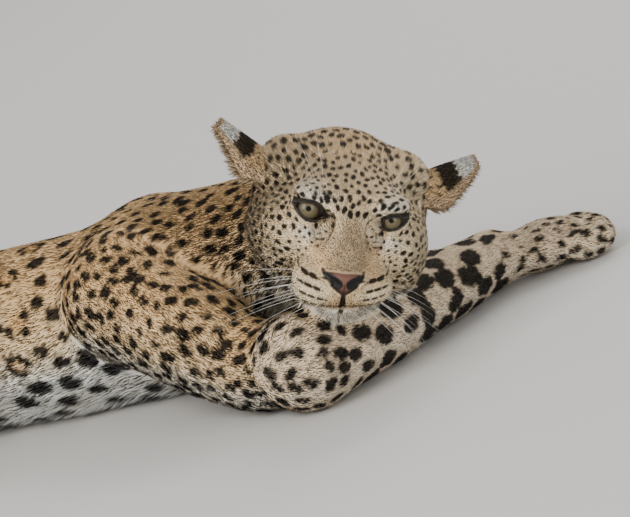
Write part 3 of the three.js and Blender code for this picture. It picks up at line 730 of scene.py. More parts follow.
def spot_plan(p, part, place, normal):
    """Least spacing, half width, stretch and kind of the spots at each place."""
    names = np.array(PARTS)[part]
    n = len(p)
    x, up = p[:, 0], normal[:, 2]
    usual = {"gap": 27.0, "half": 10.5, "stretch": 1.15, "kind": 2}
    plan = {key: np.full(n, value) for key, value in usual.items()}

    def put(where, **values):
        for key, value in values.items():
            plan[key] = np.where(where, value, plan[key])

    trunk_part = np.isin(names, ["back", "neck"])
    ahead = step(x, -130, -20)
    flank = trunk_part & (x > -130)
    put(flank, kind=1, gap=lerp(16, 12, ahead), half=lerp(6.2, 4.9, ahead), stretch=1.35)
    put(names == "neck", kind=1, gap=10.6, half=4.4, stretch=1.35)
    put((names == "back") & (up < -0.2), kind=1, gap=23, half=9.0, stretch=1.3)
    put(np.char.startswith(names, "arm"), kind=1, gap=10.3, half=4.6, stretch=1.4)
    fore = np.char.startswith(names, "fore")
    run = step(place, -15, 60) * (1 - step(place, 222, 262))
    put(fore, kind=1, gap=lerp(10.8, 18.2, run), half=lerp(4.7, 8.7, run), stretch=1.35)
    put(fore & (place > 262), gap=9.5, half=3.2)
    put(np.char.startswith(names, "shank"), kind=1, gap=15.5, half=5.9, stretch=1.25)
    put(np.char.startswith(names, "foot"), kind=1, gap=11, half=3.4)
    put(names == "tail", kind=1, gap=19, half=6.6, stretch=1.2)
    h = to_head(p)
    f, l, u = h[:, 0], np.abs(h[:, 1]), h[:, 2]
    head = names == "head"
    behind = step(-f, -15, 60)
    put(head, kind=1, gap=lerp(5.3, 8.6, behind), half=lerp(2.05, 3.7, behind), stretch=1.5)
    put(head & (u < 18) & (f > 0), gap=6.5, half=2.3, stretch=1.3)
    put(head & (f > 34) & (u < 14) & (l < 46), gap=5.0, half=1.35, stretch=1.2)
    bare = head & (f > 50) & (l < lerp(25, 6, step(u, -10, 26))) & (u < 26)
    bare |= head & (f > 68) & (u > -42)
    for _n, s in SIDES:
        edge, above = lid_opening(h, s)
        bare |= head & (edge < 4.5) & (above > -6)
    put(bare, kind=0)
    return plan


class Spots:
    """The coat's spots as a list of dark ovals on the skin."""

    def __init__(self, p, normal, part, lie, place):
        rng = np.random.default_rng(21)
        plan = spot_plan(p, part, place, normal)
        gap, half, stretch, kind = (plan[k] for k in ("gap", "half", "stretch", "kind"))
        order = rng.permutation(len(p))
        order = order[(kind[order] > 0) & (rng.random(len(order)) < np.where(gap[order] < 9, 1.0, 0.5))]
        kept = np.zeros((len(order), 4))
        self.rows, self.centres = [], []
        count = 0
        for i in order:
            along = unit(lie[i] - normal[i] * (lie[i] @ normal[i]))
            d = kept[:count, :3] - p[i]
            apart = np.einsum("ij,ij->i", d, d) - (d @ along) ** 2 * (1 - stretch[i] ** -2)
            if np.any(apart < (0.5 * (kept[:count, 3] + gap[i])) ** 2):
                continue
            kept[count] = [*p[i], gap[i]]
            count += 1
            across = np.cross(normal[i], along)
            r = half[i] * rng.uniform(0.8, 1.15)
            if kind[i] == 1:
                turn = rng.normal(0, 0.35)
                axis = along * math.cos(turn) + across * math.sin(turn)
                side = across * math.cos(turn) - along * math.sin(turn)
                self.rows.append([*p[i], *axis, *side, r * stretch[i] * rng.uniform(0.85, 1.2), r])
            else:
                self.rosette(p[i], along, across, r, rng)
        self.rows, self.centres = np.array(self.rows), np.array(self.centres)

    def rosette(self, at, along, across, r, rng):
        """A broken ring of spots around a darker middle."""
        self.centres.append([*at, r])
        count = rng.integers(4, 7)
        start = rng.uniform(0, 6.3)
        for k in range(count):
            if rng.random() < 0.1:
                continue
            a = start + 6.283 * k / count + rng.uniform(-0.2, 0.2)
            out = along * math.cos(a) * 1.15 + across * math.sin(a) * 0.95
            tangent = unit(across * math.cos(a) - along * math.sin(a))
            size = [r * rng.uniform(0.45, 0.62), r * rng.uniform(0.3, 0.42)]
            self.rows.append([*(at + out * r * rng.uniform(0.85, 1.0)), *tangent, *unit(out), *size])

    def read(self, p):
        """How far inside a dark spot, and how far inside a rosette, in millimetres."""
        dark, inner = np.full(len(p), -9.0), np.full(len(p), -9.0)
        key = np.floor(p[:, 0] / 14) * 1000 + np.floor(p[:, 1] / 40)
        order = np.argsort(key, kind="stable")
        for chunk in np.array_split(order, max(1, len(p) // 700)):
            q = p[chunk]
            low, high = q.min(0) - 22, q.max(0) + 22
            rows = self.rows[np.all((self.rows[:, :3] > low) & (self.rows[:, :3] < high), axis=1)]
            if len(rows):
                off = q[:, None, :] - rows[None, :, :3]
                a = np.einsum("ijk,jk->ij", off, rows[:, 3:6]) / rows[:, 9]
                b = np.einsum("ijk,jk->ij", off, rows[:, 6:9]) / rows[:, 10]
                reach = np.einsum("ijk,ijk->ij", off, off)
                value = (1 - np.power(np.abs(a) ** 2.4 + np.abs(b) ** 2.4, 1 / 2.4)) * rows[:, 10]
                dark[chunk] = np.max(np.where(reach < (1.6 * rows[:, 9]) ** 2, value, -9), axis=1)
            rings = self.centres[np.all((self.centres[:, :3] > low) & (self.centres[:, :3] < high), axis=1)]
            if len(rings):
                off = q[:, None, :] - rings[None, :, :3]
                inner[chunk] = np.max(rings[:, 3] - np.linalg.norm(off, axis=2), axis=1)
        away = step(np.linalg.norm(to_head(p), axis=1), 90, 170)
        return dark + ripple(p, 11, 8) * away + ripple(p, 5, 9) * (0.25 + 0.35 * away), inner


def coat_colour(p, normal, part, spots, jitter=0.0):
    """Colour of the coat with its markings."""
    colour = base_colour(p, normal, part)
    dark, inner = spots.read(p)
    dark = np.maximum(dark, face_marks(p)) + jitter
    names = np.array(PARTS)[part]
    ring = step(inner, -1, 3) * np.isin(names, ["back", "thigh_right", "thigh_left"])
    colour = mix(colour, ROSETTE, 0.5 * ring)
    return mix(colour, BLACK, 0.97 * step(dark, -0.4, 0.35))


STATE = {}


def link_input(tree, node, socket, value):
    target = node.inputs[socket]
    if isinstance(value, bpy.types.NodeSocket):
        tree.links.new(value, target)
    else:
        target.default_value = value


def node(tree, kind, inputs=None, **settings):
    """Adds a node with its settings and its inputs."""
    made = tree.nodes.new(kind)
    for key, value in settings.items():
        setattr(made, key, value)
    for socket, value in (inputs or {}).items():
        link_input(tree, made, socket, value)
    return made


def new_material(name):
    material = bpy.data.materials.new(name)
    material.use_nodes = True
    tree = material.node_tree
    tree.nodes.clear()
    shader = node(tree, "ShaderNodeBsdfPrincipled")
    node(tree, "ShaderNodeOutputMaterial", {"Surface": shader.outputs[0]})
    return material, tree, shader


def fur_material(name, roughness, hair):
    """Short coat hair: matt, with a fine change of tone from hair to hair."""
    material, tree, shader = new_material(name)
    colour = node(tree, "ShaderNodeAttribute", attribute_name="coat")
    place = node(tree, "ShaderNodeTexCoord")
    fine = node(tree, "ShaderNodeTexNoise", {"Vector": place.outputs["Object"], "Scale": hair, "Detail": 4.0})
    tone = {"Value": fine.outputs["Fac"], "From Min": 0.25, "From Max": 0.75, "To Min": 0.86, "To Max": 1.12}
    level = node(tree, "ShaderNodeMapRange", tone)
    pair = {0: colour.outputs["Color"], 1: level.outputs[0]}
    tinted = node(tree, "ShaderNodeVectorMath", pair, operation="MULTIPLY")
    tree.links.new(tinted.outputs["Vector"], shader.inputs["Base Color"])
    shader.inputs["Roughness"].default_value = roughness
    shader.inputs["Specular IOR Level"].default_value = 0.2
    return material, tree, shader, fine


class LeopardSettings(bpy.types.PropertyGroup):
    """Sizes and colours of the leopard's coat and face."""

    cell: bpy.props.FloatProperty(
        name="Skin cell",
        description="Size of the skin's cells, in millimetres",
        default=4.5,
        unit="NONE",
    )
    iris: bpy.props.FloatVectorProperty(
        name="Iris",
        description="Colour of the iris",
        subtype="COLOR",
        size=3,
        default=tuple(linear("#5E543E")),
    )
    whiskers: bpy.props.IntProperty(
        name="Whiskers",
        description="Whiskers on each side",
        default=12,
        min=0,
    )


class LEOPARD_OT_skin(bpy.types.Operator):
    """Joins the body's parts under one smooth skin with folds, lids and lips"""

    bl_idname = "leopard.skin"
    bl_label = "Skin"

    def execute(self, context):
        settings = context.scene.leopard
        flesh = [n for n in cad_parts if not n.startswith("ear")]
        joined = bmesh.new()
        for name in flesh:
            joined.from_mesh(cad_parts[name].data)
        bmesh.ops.remove_doubles(joined, verts=joined.verts, dist=1e-6)
        rough = bpy.data.meshes.new("rough")
        joined.to_mesh(rough)
        joined.free()
        base = bpy.data.objects.new("base", rough)
        context.scene.collection.objects.link(base)
        remesh = base.modifiers.new("Remesh", "REMESH")
        remesh.mode = "VOXEL"
        remesh.voxel_size = settings.cell * MM
        context.view_layer.update()
        whole = bpy.data.meshes.new_from_object(base.evaluated_get(context.evaluated_depsgraph_get()))
        bpy.data.objects.remove(base)
        bm = bmesh.new()
        bm.from_mesh(whole)
        self.keep_largest(bm)
        for low, high in (((-5, -78, -70), (125, 78, 62)), ((26, -62, -62), (125, 62, 44))):
            chosen = []
            co = np.array([v.co for v in bm.verts]) / MM
            inside = np.all((to_head(co) > low) & (to_head(co) < high), axis=1)
            bm.verts.ensure_lookup_table()
            for e in bm.edges:
                if inside[e.verts[0].index] and inside[e.verts[1].index]:
                    chosen.append(e)
            bmesh.ops.subdivide_edges(bm, edges=chosen, cuts=1, use_grid_fill=True)
            bm.verts.index_update()
        every_axis = {"use_axis_" + axis: True for axis in "xyz"}
        bmesh.ops.smooth_vert(bm, verts=bm.verts, factor=0.5, **every_axis)
        bmesh.ops.triangulate(bm, faces=[f for f in bm.faces if len(f.verts) > 4])
        skin_mesh = bpy.data.meshes.new("skin")
        bm.to_mesh(skin_mesh)
        bm.free()
        p = vertices_of(skin_mesh) / MM
        part, lie, place = body_map(p)
        names = np.array(PARTS)[part]
        depth = np.full(len(p), COAT_DEPTH["body"])
        depth = np.where(names == "head", COAT_DEPTH["head"], depth)
        lower_leg = np.char.startswith(names, "fore") | np.char.startswith(names, "foot")
        depth = np.where(lower_leg, COAT_DEPTH["lower_leg"], depth)
        depth = np.where(names == "tail", COAT_DEPTH["tail"], depth)
        p = settle(p, depth)
        p[:, 2] = np.maximum(p[:, 2], 0.6)
        skin_mesh.vertices.foreach_set("co", (p * MM).astype(np.float32).ravel())
        skin_mesh.update()
        skin_mesh.shade_smooth()
        obj = bpy.data.objects.new("skin", skin_mesh)
        context.scene.collection.objects.link(obj)
        tri = triangles_of(skin_mesh)
        normal = normals_of(skin_mesh)
        part, lie, place = body_map(p)
        spots = Spots(p, normal, part, lie, place)
        # Painted shade: the skin under the tufts is darkened to 0.9 for the shade beneath the coat
        colour = coat_colour(p, normal, part, spots) * 0.9
        h = pressed(to_head(p))
        colour = mix(colour, nose_colour(h), nose_share(h))
        for name, s in SIDES:
            edge, above = lid_opening(h, s)
            colour = mix(colour, linear("#1A1311"), step(-edge, -0.3, 0.3) * step(above, -5, -3))
        paint(skin_mesh, "coat", colour)
        material, tree, shader, fine = fur_material("coat_under_fur", 0.85, 700.0)
        relief = {"Height": fine.outputs["Fac"], "Strength": 0.35, "Distance": 0.0006}
        bump = node(tree, "ShaderNodeBump", relief)
        tree.links.new(bump.outputs["Normal"], shader.inputs["Normal"])
        skin_mesh.materials.append(material)
        skin_mesh.materials.append(self.leather())
        bare = nose_share(pressed(to_head(p))) > 0.5
        for face in skin_mesh.polygons:
            if bare[face.vertices[0]] and all(bare[v] for v in face.vertices):
                face.material_index = 1
        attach(obj, "root")
        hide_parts(*[n for n in flesh if not n.startswith("eye")])
        STATE.update(p=p, tri=tri, normal=normal, part=part, lie=lie, spots=spots)
        print("skin vertices", len(p), "triangles", len(tri), "spots", len(spots.rows))
        return {"FINISHED"}

    def leather(self):
        """Bare, finely pebbled leather of the nose."""
        material, tree, shader = new_material("nose_leather")
        colour = node(tree, "ShaderNodeAttribute", attribute_name="coat")
        tree.links.new(colour.outputs["Color"], shader.inputs["Base Color"])
        place = node(tree, "ShaderNodeTexCoord")
        # Pebbles about 1 mm across
        grain = {"Vector": place.outputs["Object"], "Scale": 900.0}
        pebble = node(tree, "ShaderNodeTexVoronoi", grain)
        relief = {"Height": pebble.outputs["Distance"], "Strength": 0.35, "Distance": 0.0003}
        bump = node(tree, "ShaderNodeBump", relief)
        tree.links.new(bump.outputs["Normal"], shader.inputs["Normal"])
        shader.inputs["Roughness"].default_value = 0.5
        shader.inputs["Specular IOR Level"].default_value = 0.3
        return material

    def keep_largest(self, bm):
        bm.verts.ensure_lookup_table()
        seen = np.zeros(len(bm.verts), bool)
        groups = []
        for v in bm.verts:
            if seen[v.index]:
                continue
            stack, group = [v], []
            seen[v.index] = True
            while stack:
                w = stack.pop()
                group.append(w)
                for e in w.link_edges:
                    o = e.other_vert(w)
                    if not seen[o.index]:
                        seen[o.index] = True
                        stack.append(o)
            groups.append(group)
        groups.sort(key=len)
        for group in groups[:-1]:
            bmesh.ops.delete(bm, geom=group, context="VERTS")
        bm.verts.index_update()


class Coat:
    """A piece of coat: thin tapering tufts rooted on a surface and lying along it."""

    def __init__(self, p, tri, normal, lie, weight, count, seed):
        self.rng = rng = np.random.default_rng(seed)
        a, b, c = p[tri[:, 0]], p[tri[:, 1]], p[tri[:, 2]]
        area = np.linalg.norm(np.cross(b - a, c - a), axis=1) * weight[tri].min(1)
        self.corners = tri[rng.choice(len(tri), size=count, p=area / area.sum())]
        u, v = rng.random(count), rng.random(count)
        flip = u + v > 1
        u[flip], v[flip] = 1 - u[flip], 1 - v[flip]
        self.share = np.stack([1 - u - v, u, v], 1)
        self.count = count
        self.root, self.n = self.spread(p), unit(self.spread(normal))
        along = self.spread(lie)
        along = unit(along - self.n * np.sum(along * self.n, 1)[:, None])
        side = np.cross(self.n, along)
        turn = (rng.normal(0, 0.14, count) + 0.16 * ripple(self.root, 34, 12))[:, None]
        self.along = unit(along * np.cos(turn) + side * np.sin(turn))
        self.side = np.cross(self.n, self.along)

    def spread(self, values):
        """Reads a value of the surface's corners at each root."""
        values = values[self.corners]
        return np.sum(values * (self.share[:, :, None] if values.ndim == 3 else self.share), axis=1)

    def shape(self, length, width, lift):
        rng, count = self.rng, self.count
        self.size = self.spread(length) * rng.uniform(0.7, 1.25, count)
        wide = (self.spread(width) * rng.uniform(0.75, 1.3, count))[:, None]
        rise = (self.spread(lift) * rng.uniform(0.4, 1.6, count))[:, None]
        size = self.size[:, None]
        tip = self.root + self.along * size * np.cos(rise) + self.n * size * np.sin(rise)
        sunk = self.root - self.n * 0.5
        top = self.root + self.n * 0.4 * wide + self.along * 0.3 * size
        side = self.side * wide / 2
        self.verts = np.stack([sunk - side, sunk + side, top, tip], 1)
        self.verts[:, :, 2] = np.maximum(self.verts[:, :, 2], 0.3)

    def finish(self, name, near_root, near_tip, uv):
        """Writes the piece, with its colours, painted shade at the roots and painted light at the tips, and
        the unwrapped place of each root.
        """
        count = self.count
        faces = np.array([(0, 2, 1), (0, 3, 2), (1, 2, 3), (0, 1, 3)])
        faces = (np.arange(count) * 4)[:, None, None] + faces[None]
        obj = mesh_object(name, self.verts.reshape(-1, 3) * MM, faces.reshape(-1, 3))
        mesh = obj.data
        tone = self.rng.uniform(0.94, 1.05, (count, 1))
        # Painted shade and light: the two sunk root corners are darkened to 0.9 for the shade deep in the
        # coat, and the tip is lightened by 1.06 for the light it catches; the random tone is the hair's own
        colours_with_painted_light = np.stack([near_root * 0.9, near_root * 0.9, near_root, near_tip * 1.06], 1) * tone[:, None]
        paint(mesh, "coat", np.clip(colours_with_painted_light, 0, 1).reshape(-1, 3))
        n, side = self.n, self.side
        lit = n + (0, 0, 0.15) + (0, 0, 0.6) * np.clip(-n[:, 2:], 0, 1)
        facing = np.stack([lit - side * 0.4, lit + side * 0.4, lit, lit + self.along * 0.15], 1)
        patch = np.array([(-1, -1), (1, -1), (1, 1), (-1, 1)]) * 0.0015
        layer = mesh.uv_layers.new(name="OFBake")
        index = np.empty(len(mesh.loops), np.int32)
        mesh.loops.foreach_get("vertex_index", index)
        loops = unit(facing).reshape(-1, 3)[index]
        beneath = np.repeat(np.arange(len(index) // 3) % 4 == 3, 3)
        loops[beneath] = np.repeat(unit(self.along * 0.9 - n * 0.5), 3, axis=0)
        facing_layer = mesh.attributes.new("custom_normal", "FLOAT_VECTOR", "CORNER")
        facing_layer.data.foreach_set("vector", loops.astype(np.float32).ravel())
        flat = (uv[:, None, :] + patch[None]).reshape(-1, 2)
        layer.data.foreach_set("uv", flat[index].astype(np.float32).ravel())
        mesh.materials.append(STATE["fur"])
        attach(obj, "root")
        return obj


def unwrap_ball(root):
    """Places on the head as turns around it and height, from 0 to 1."""
    h = unit(to_head(root) - (10, 0, 0))
    around = np.arctan2(h[:, 1], h[:, 0]) / (2 * math.pi) + 0.5
    return np.stack([0.02 + 0.96 * around, 0.02 + 0.96 * (np.arcsin(h[:, 2]) / math.pi + 0.5)], 1)


def unwrap_lines(names, root):
    """Places on limbs: each takes a band, with its length one way and the turn around it the other."""
    uv = np.zeros((len(root), 2))
    best = np.full(len(root), 1e9)
    band = 0.96 / len(names)
    for i, name in enumerate(names):
        samples = LINES[name]
        d, along, heading = on_curve(root, samples)
        steps = np.concatenate([[0], np.cumsum(np.linalg.norm(np.diff(samples[:, :3], axis=0), axis=1))])
        middle = np.stack([np.interp(along, steps, samples[:, k]) for k in range(3)], 1)
        side = unit(np.cross(heading, (0, 0, 1)) + (0, 1e-6, 0))
        high = np.cross(side, heading)
        off = root - middle
        angle = np.arctan2(np.sum(off * side, 1), np.sum(off * high, 1)) / (2 * math.pi) + 0.5
        t = np.clip((along + np.sum(off * heading, 1) + 60) / (steps[-1] + 120), 0, 1)
        win = d < best
        best[win] = d[win]
        uv[win] = np.stack([0.02 + 0.96 * t, 0.02 + band * (i + 0.02 + 0.96 * angle)], 1)[win]
    return uv


def hair_plan(p, normal, names):
    """Length, width, lift and thickness of the coat at each place on the skin."""
    h = to_head(p)
    f, l, u = h[:, 0], np.abs(h[:, 1]), h[:, 2]
    low = np.clip(-normal[:, 2], 0, 1)
    head = names == "head"
    trunk_part = np.isin(names, ["back", "neck"])
    lower_leg = np.char.startswith(names, "fo")
    length = np.where(trunk_part, 7.0 + 9 * low, 6.0)
    length = np.where(lower_leg, 4.5, length)
    behind = step(-f, -80, 30)
    length = np.where(head, lerp(2.0, 6.5, behind), length)
    length = np.where(head & (u < -40), 7.0, length)
    width = np.where(lower_leg, 0.9, 1.1)
    width = np.where(head, lerp(0.5, 1.1, behind), width)
    lift = np.where(lower_leg, 0.12, 0.12 + 0.12 * low)
    lift = np.where(head, lerp(0.25, 0.2, behind), lift)
    keep = np.ones(len(p))
    for n, s in SIDES:
        edge, above = lid_opening(pressed(h), s)
        close = head & (above > -8)
        keep = np.where(close & (edge < 1.0), 0, keep)
        length = np.where(close & (edge < 9), np.minimum(length, 1.5 + 0.25 * np.maximum(edge, 0)), length)
    keep = np.where(head & (nose_share(pressed(h)) > 0), 0, keep)
    keep = np.where(p[:, 2] < 1.2, 0, keep)
    return length, width, lift, keep


class LEOPARD_OT_coat(bpy.types.Operator):
    """Grows the short coat in tufts that follow its lie"""

    bl_idname = "leopard.coat"
    bl_label = "Coat"

    def execute(self, context):
        p, tri, normal, part, lie = (STATE[k] for k in ("p", "tri", "normal", "part", "lie"))
        names = np.array(PARTS)[part]
        f = to_head(p)[:, 0]
        STATE["fur"] = fur_material("coat_hair", 0.75, 400.0)[0]
        length, width, lift, keep = hair_plan(p, normal, names)
        pieces = {
            "face": (["head"], f > -2, 49000),
            "crown": (["head"], f <= -2, 30000),
            "neck": (["neck"], True, 34000),
            "back": (["back"], True, 49000),
            "foreleg_right": (["arm_right", "fore_right"], True, 49000),
            "foreleg_left": (["arm_left", "fore_left"], True, 30000),
            "hindleg_right": (["thigh_right", "shank_right", "foot_right"], True, 36000),
            "hindleg_left": (["thigh_left", "shank_left", "foot_left"], True, 32000),
            "tail": (["tail"], True, 24000),
        }
        for i, (name, (parts, share, count)) in enumerate(pieces.items()):
            mask = np.isin(names, parts) & share
            coat = Coat(p, tri, normal, lie, keep * mask, count, 100 + i)
            coat.shape(length, width, lift)
            where = body_map(coat.root)[0]
            jitter = coat.rng.normal(0, 0.2, count)
            shades = []
            for reach in (0.25, 0.75):
                at = coat.root + coat.along * (reach * coat.size)[:, None]
                shades.append(coat_colour(at, coat.n, where, STATE["spots"], jitter))
            uv = unwrap_ball(coat.root) if parts == ["head"] else unwrap_lines(parts, coat.root)
            coat.finish("coat_" + name, *shades, uv)
        return {"FINISHED"}


EAR_ROOT, EAR_TIP = (-38, 60, 24), (-51, 115, 60)
EAR_OPENING = {-1: (0.25, 0.3, -0.96), 1: (0.15, 0.3, -0.96)}


def ear_surface(s):
    """The ear's corners as a C-shaped section carried along it, with where each lies on the ear."""
    root, tip = (np.array((v[0], s * v[1], v[2]), float) for v in (EAR_ROOT, EAR_TIP))
    axis = tip - root
    size = np.linalg.norm(axis)
    axis = axis / size
    opening = np.array(EAR_OPENING[s]) * (1, s, 1)
    opening = unit(opening - axis * (opening @ axis))
    across = unit(np.cross(opening, axis))
    rings, arc = 40, 36
    rows, place = [], []
    for i in range(rings + 1):
        t = math.sin(math.radians(90 * i / rings))
        wide = 27.5 * (1 - (0.985 * t) ** 3) ** 0.45
        deep = lerp(33, 13, t) - 0.8
        spread = math.radians(lerp(118, 84, t) - 42 * (1 - step(t, 0, 0.4)))
        wall = lerp(4.5, 1.8, t)
        for inner in (0, 1):
            for j in range(arc + 1):
                w = (2 * j / arc - 1) * (1 - 2 * inner)
                at = root + axis * (size * t - wall * 0.3 * t * inner - 0.8 * t)
                at = at + across * (wide - wall * inner) * math.sin(spread * w)
                at = at + opening * (deep * 0.55 - (deep - wall * inner) * math.cos(spread * w))
                rows.append(at)
                place.append((t, w, inner))
    n = 2 * (arc + 1)
    faces = band_faces(rings, n)
    top = rings * n
    for j in range(arc):
        faces.append((j, n - 1 - j, n - 2 - j, j + 1))
        faces.append((top + j, top + j + 1, top + n - 2 - j, top + n - 1 - j))
    return np.array(rows), faces, np.array(place), axis, opening


def ear_colour(point, t, w, inner):
    """Orange root, black band and pale tip on the back, with a tan rim and grey hair inside."""
    t = t + 0.025 * ripple(point, 9, 3)
    colour = mix(np.tile(TAN, (len(t), 1)), GOLD, 0.5)
    dots = step(ripple(point, 7, 6), 0.55, 0.7) * (1 - step(t, 0.45, 0.5))
    band = step(t, 0.4, 0.45) * (1 - step(t, 0.68, 0.72))
    colour = mix(colour, BLACK, 0.95 * np.maximum(band, dots))
    colour = mix(colour, linear("#E6E0D4"), step(t, 0.68, 0.72))
    rim = np.maximum(step(np.abs(w), 0.7, 0.82), step(t, 0.92, 0.97))
    colour = mix(colour, linear("#D3B48E"), rim)
    within = np.tile(linear("#CDB290"), (len(t), 1))
    within = mix(within, linear("#8E7A66"), 0.7 * (1 - step(np.abs(w), 0.35, 0.85)))
    return mix(colour, within, inner)


class LEOPARD_OT_ears(bpy.types.Operator):
    """Shapes the ears, with dark backs, pale tips and soft hair inside"""

    bl_idname = "leopard.ears"
    bl_label = "Ears"

    def execute(self, context):
        for name, s in SIDES:
            rows, faces, place, axis, opening = ear_surface(s)
            obj = mesh_object("ear_skin_" + name, from_head(rows) * MM, faces)
            mesh = obj.data
            face_outwards(mesh)
            tri = triangles_of(mesh)
            normal = normals_of(mesh)
            p = from_head(rows)
            # Painted shade: the ear's skin under its tufts is darkened to 0.9 for the shade beneath the hair
            paint(mesh, "coat", ear_colour(p, *place.T) * 0.9)
            mesh.materials.append(STATE["fur"])
            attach(obj, "root")
            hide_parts("ear_" + name)
            t, w, inner = place.T
            margin = step(np.abs(w), 0.55, 0.9)
            lie = axis @ HEAD_AXES + 0.7 * inner[:, None] * (opening @ HEAD_AXES)
            length = np.where(inner > 0, lerp(5, 13, margin * (1 - t)), 3.2)
            lift = np.where(inner > 0, 0.5, 0.18)
            weight = np.where(t > 0.1, 1.0, 0.4) * np.where(inner > 0, 0.8, 1.0)
            coat = Coat(p, tri, normal, lie, weight, 15000, 300 + s)
            coat.shape(length, np.full(len(p), 0.65), lift)
            where = [coat.spread(v) for v in (t, w, inner)]
            colour = ear_colour(coat.root, *where)
            uv = np.stack([0.02 + 0.96 * where[0], 0.02 + 0.23 * (where[1] + 1) + 0.5 * where[2]], 1)
            coat.finish("coat_ear_" + name, colour, colour, uv)
        return {"FINISHED"}


class LEOPARD_OT_eyes(bpy.types.Operator):
    """Turns the eyeballs to the viewer, with pale irises and small pupils"""

    bl_idname = "leopard.eyes"
    bl_label = "Eyes"

    def execute(self, context):
        iris = np.array(context.scene.leopard.iris)
        # Cornea under a film of tears: glossy and clear over the iris, with a water-like IOR
        material, tree, shader = new_material("wet_eyeball")
        colour = node(tree, "ShaderNodeAttribute", attribute_name="eye_colour")
        tree.links.new(colour.outputs["Color"], shader.inputs["Base Color"])
        shader.inputs["Roughness"].default_value = 0.08
        shader.inputs["IOR"].default_value = 1.34
        look = unit(np.array([0.93, -0.12, 0.3]))
        rings, turns = 90, 96
        for name, s in SIDES:
            gaze = unit(look + (0, s * 0.03, 0))
            side = unit(np.cross(gaze, (0, 0, 1)))
            high = np.cross(side, gaze)
            rows = []
            for i in range(rings + 1):
                a = math.pi * (i / rings) ** 1.25
                bulge = 1.3 * float(np.exp(-((a / 0.62) ** 4)))
                for j in range(turns):
                    b = 2 * math.pi * j / turns
                    d = gaze * math.cos(a) + (side * math.cos(b) + high * math.sin(b)) * math.sin(a)
                    rows.append(eye_centre(s) + d * (EYE_RADIUS - 1.2 + bulge))
            obj = mesh_object("eyeball_" + name, from_head(np.array(rows)) * MM, band_faces(rings, turns))
            face_outwards(obj.data, merge=1e-7)
            at = to_head(vertices_of(obj.data) / MM) - eye_centre(s)
            d = unit(at)
            angle = np.arccos(np.clip(d @ gaze, -1, 1))
            around = np.arctan2(d @ high, d @ side)
            edge = 0.67
            r = angle / edge
            fibres = 0.5 + 0.5 * np.sin(around * 46 + 3 * np.sin(around * 7) + r * 4)
            n = len(at)
            tone = np.tile(iris, (n, 1)) * (0.85 + 0.3 * fibres)[:, None]
            tone = mix(tone, linear("#746547"), 0.5 * (1 - step(r, 0.3, 0.6)))
            tone = mix(tone, linear("#3B3427"), 0.9 * step(r, 0.7, 0.96))
            tone = mix(tone, linear("#0A0807"), 1 - step(r, 0.2, 0.25))
            tone = mix(tone, linear("#241912"), step(r, 0.98, 1.05))
            paint(obj.data, "eye_colour", np.clip(tone, 0, 1))
            obj.data.shade_smooth()
            obj.data.materials.append(material)
            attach(obj, "root")
            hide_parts("eye_" + name)
            self.rim(name, s)
        return {"FINISHED"}

    def rim(self, name, s):
        """A dark moist edge around the opening between the lids."""
        a, b, g = eye_axes(s)
        t = np.linspace(-1, 1, 40)
        top, bottom = lid_lines(t, s)
        outline = [(x * LID_HALF_WIDTH[s], y) for x, y in zip(t, top)]
        outline += [(x * LID_HALF_WIDTH[s], y) for x, y in zip(t[::-1][1:-1], bottom[::-1][1:-1])]
        centre = eye_centre(s)
        ring = []
        for x, y in outline:
            r = math.hypot(x, y)
            depth = math.sqrt((EYE_RADIUS + 0.5) ** 2 - min(r, 13.0) ** 2) - 0.55 * max(r - 13.0, 0)
            ring.append(centre + a * x + b * y + g * depth)
        ring = np.array(ring)
        n, m = len(ring), 8
        ahead = unit(np.roll(ring, -1, 0) - np.roll(ring, 1, 0))
        out = unit(ring - centre)
        across = np.cross(ahead, out)
        rows = []
        for i in range(n):
            for j in range(m):
                w = 2 * math.pi * j / m
                rows.append(ring[i] + across[i] * 0.75 * math.cos(w) + out[i] * 0.6 * math.sin(w))
        faces = np.array(band_faces(n, m)) % (n * m)
        obj = mesh_object("lid_edge_" + name, from_head(np.array(rows)) * MM, faces)
        face_outwards(obj.data)
        obj.data.shade_smooth()
        if "lid" not in STATE:
            # Bare dark skin, kept moist, so it has a dull shine
            material, tree, shader = new_material("moist_lid_skin")
            shader.inputs["Base Color"].default_value = (*linear("#1C1512"), 1)
            shader.inputs["Roughness"].default_value = 0.35
            STATE["lid"] = material
        obj.data.materials.append(STATE["lid"])
        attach(obj, "root")


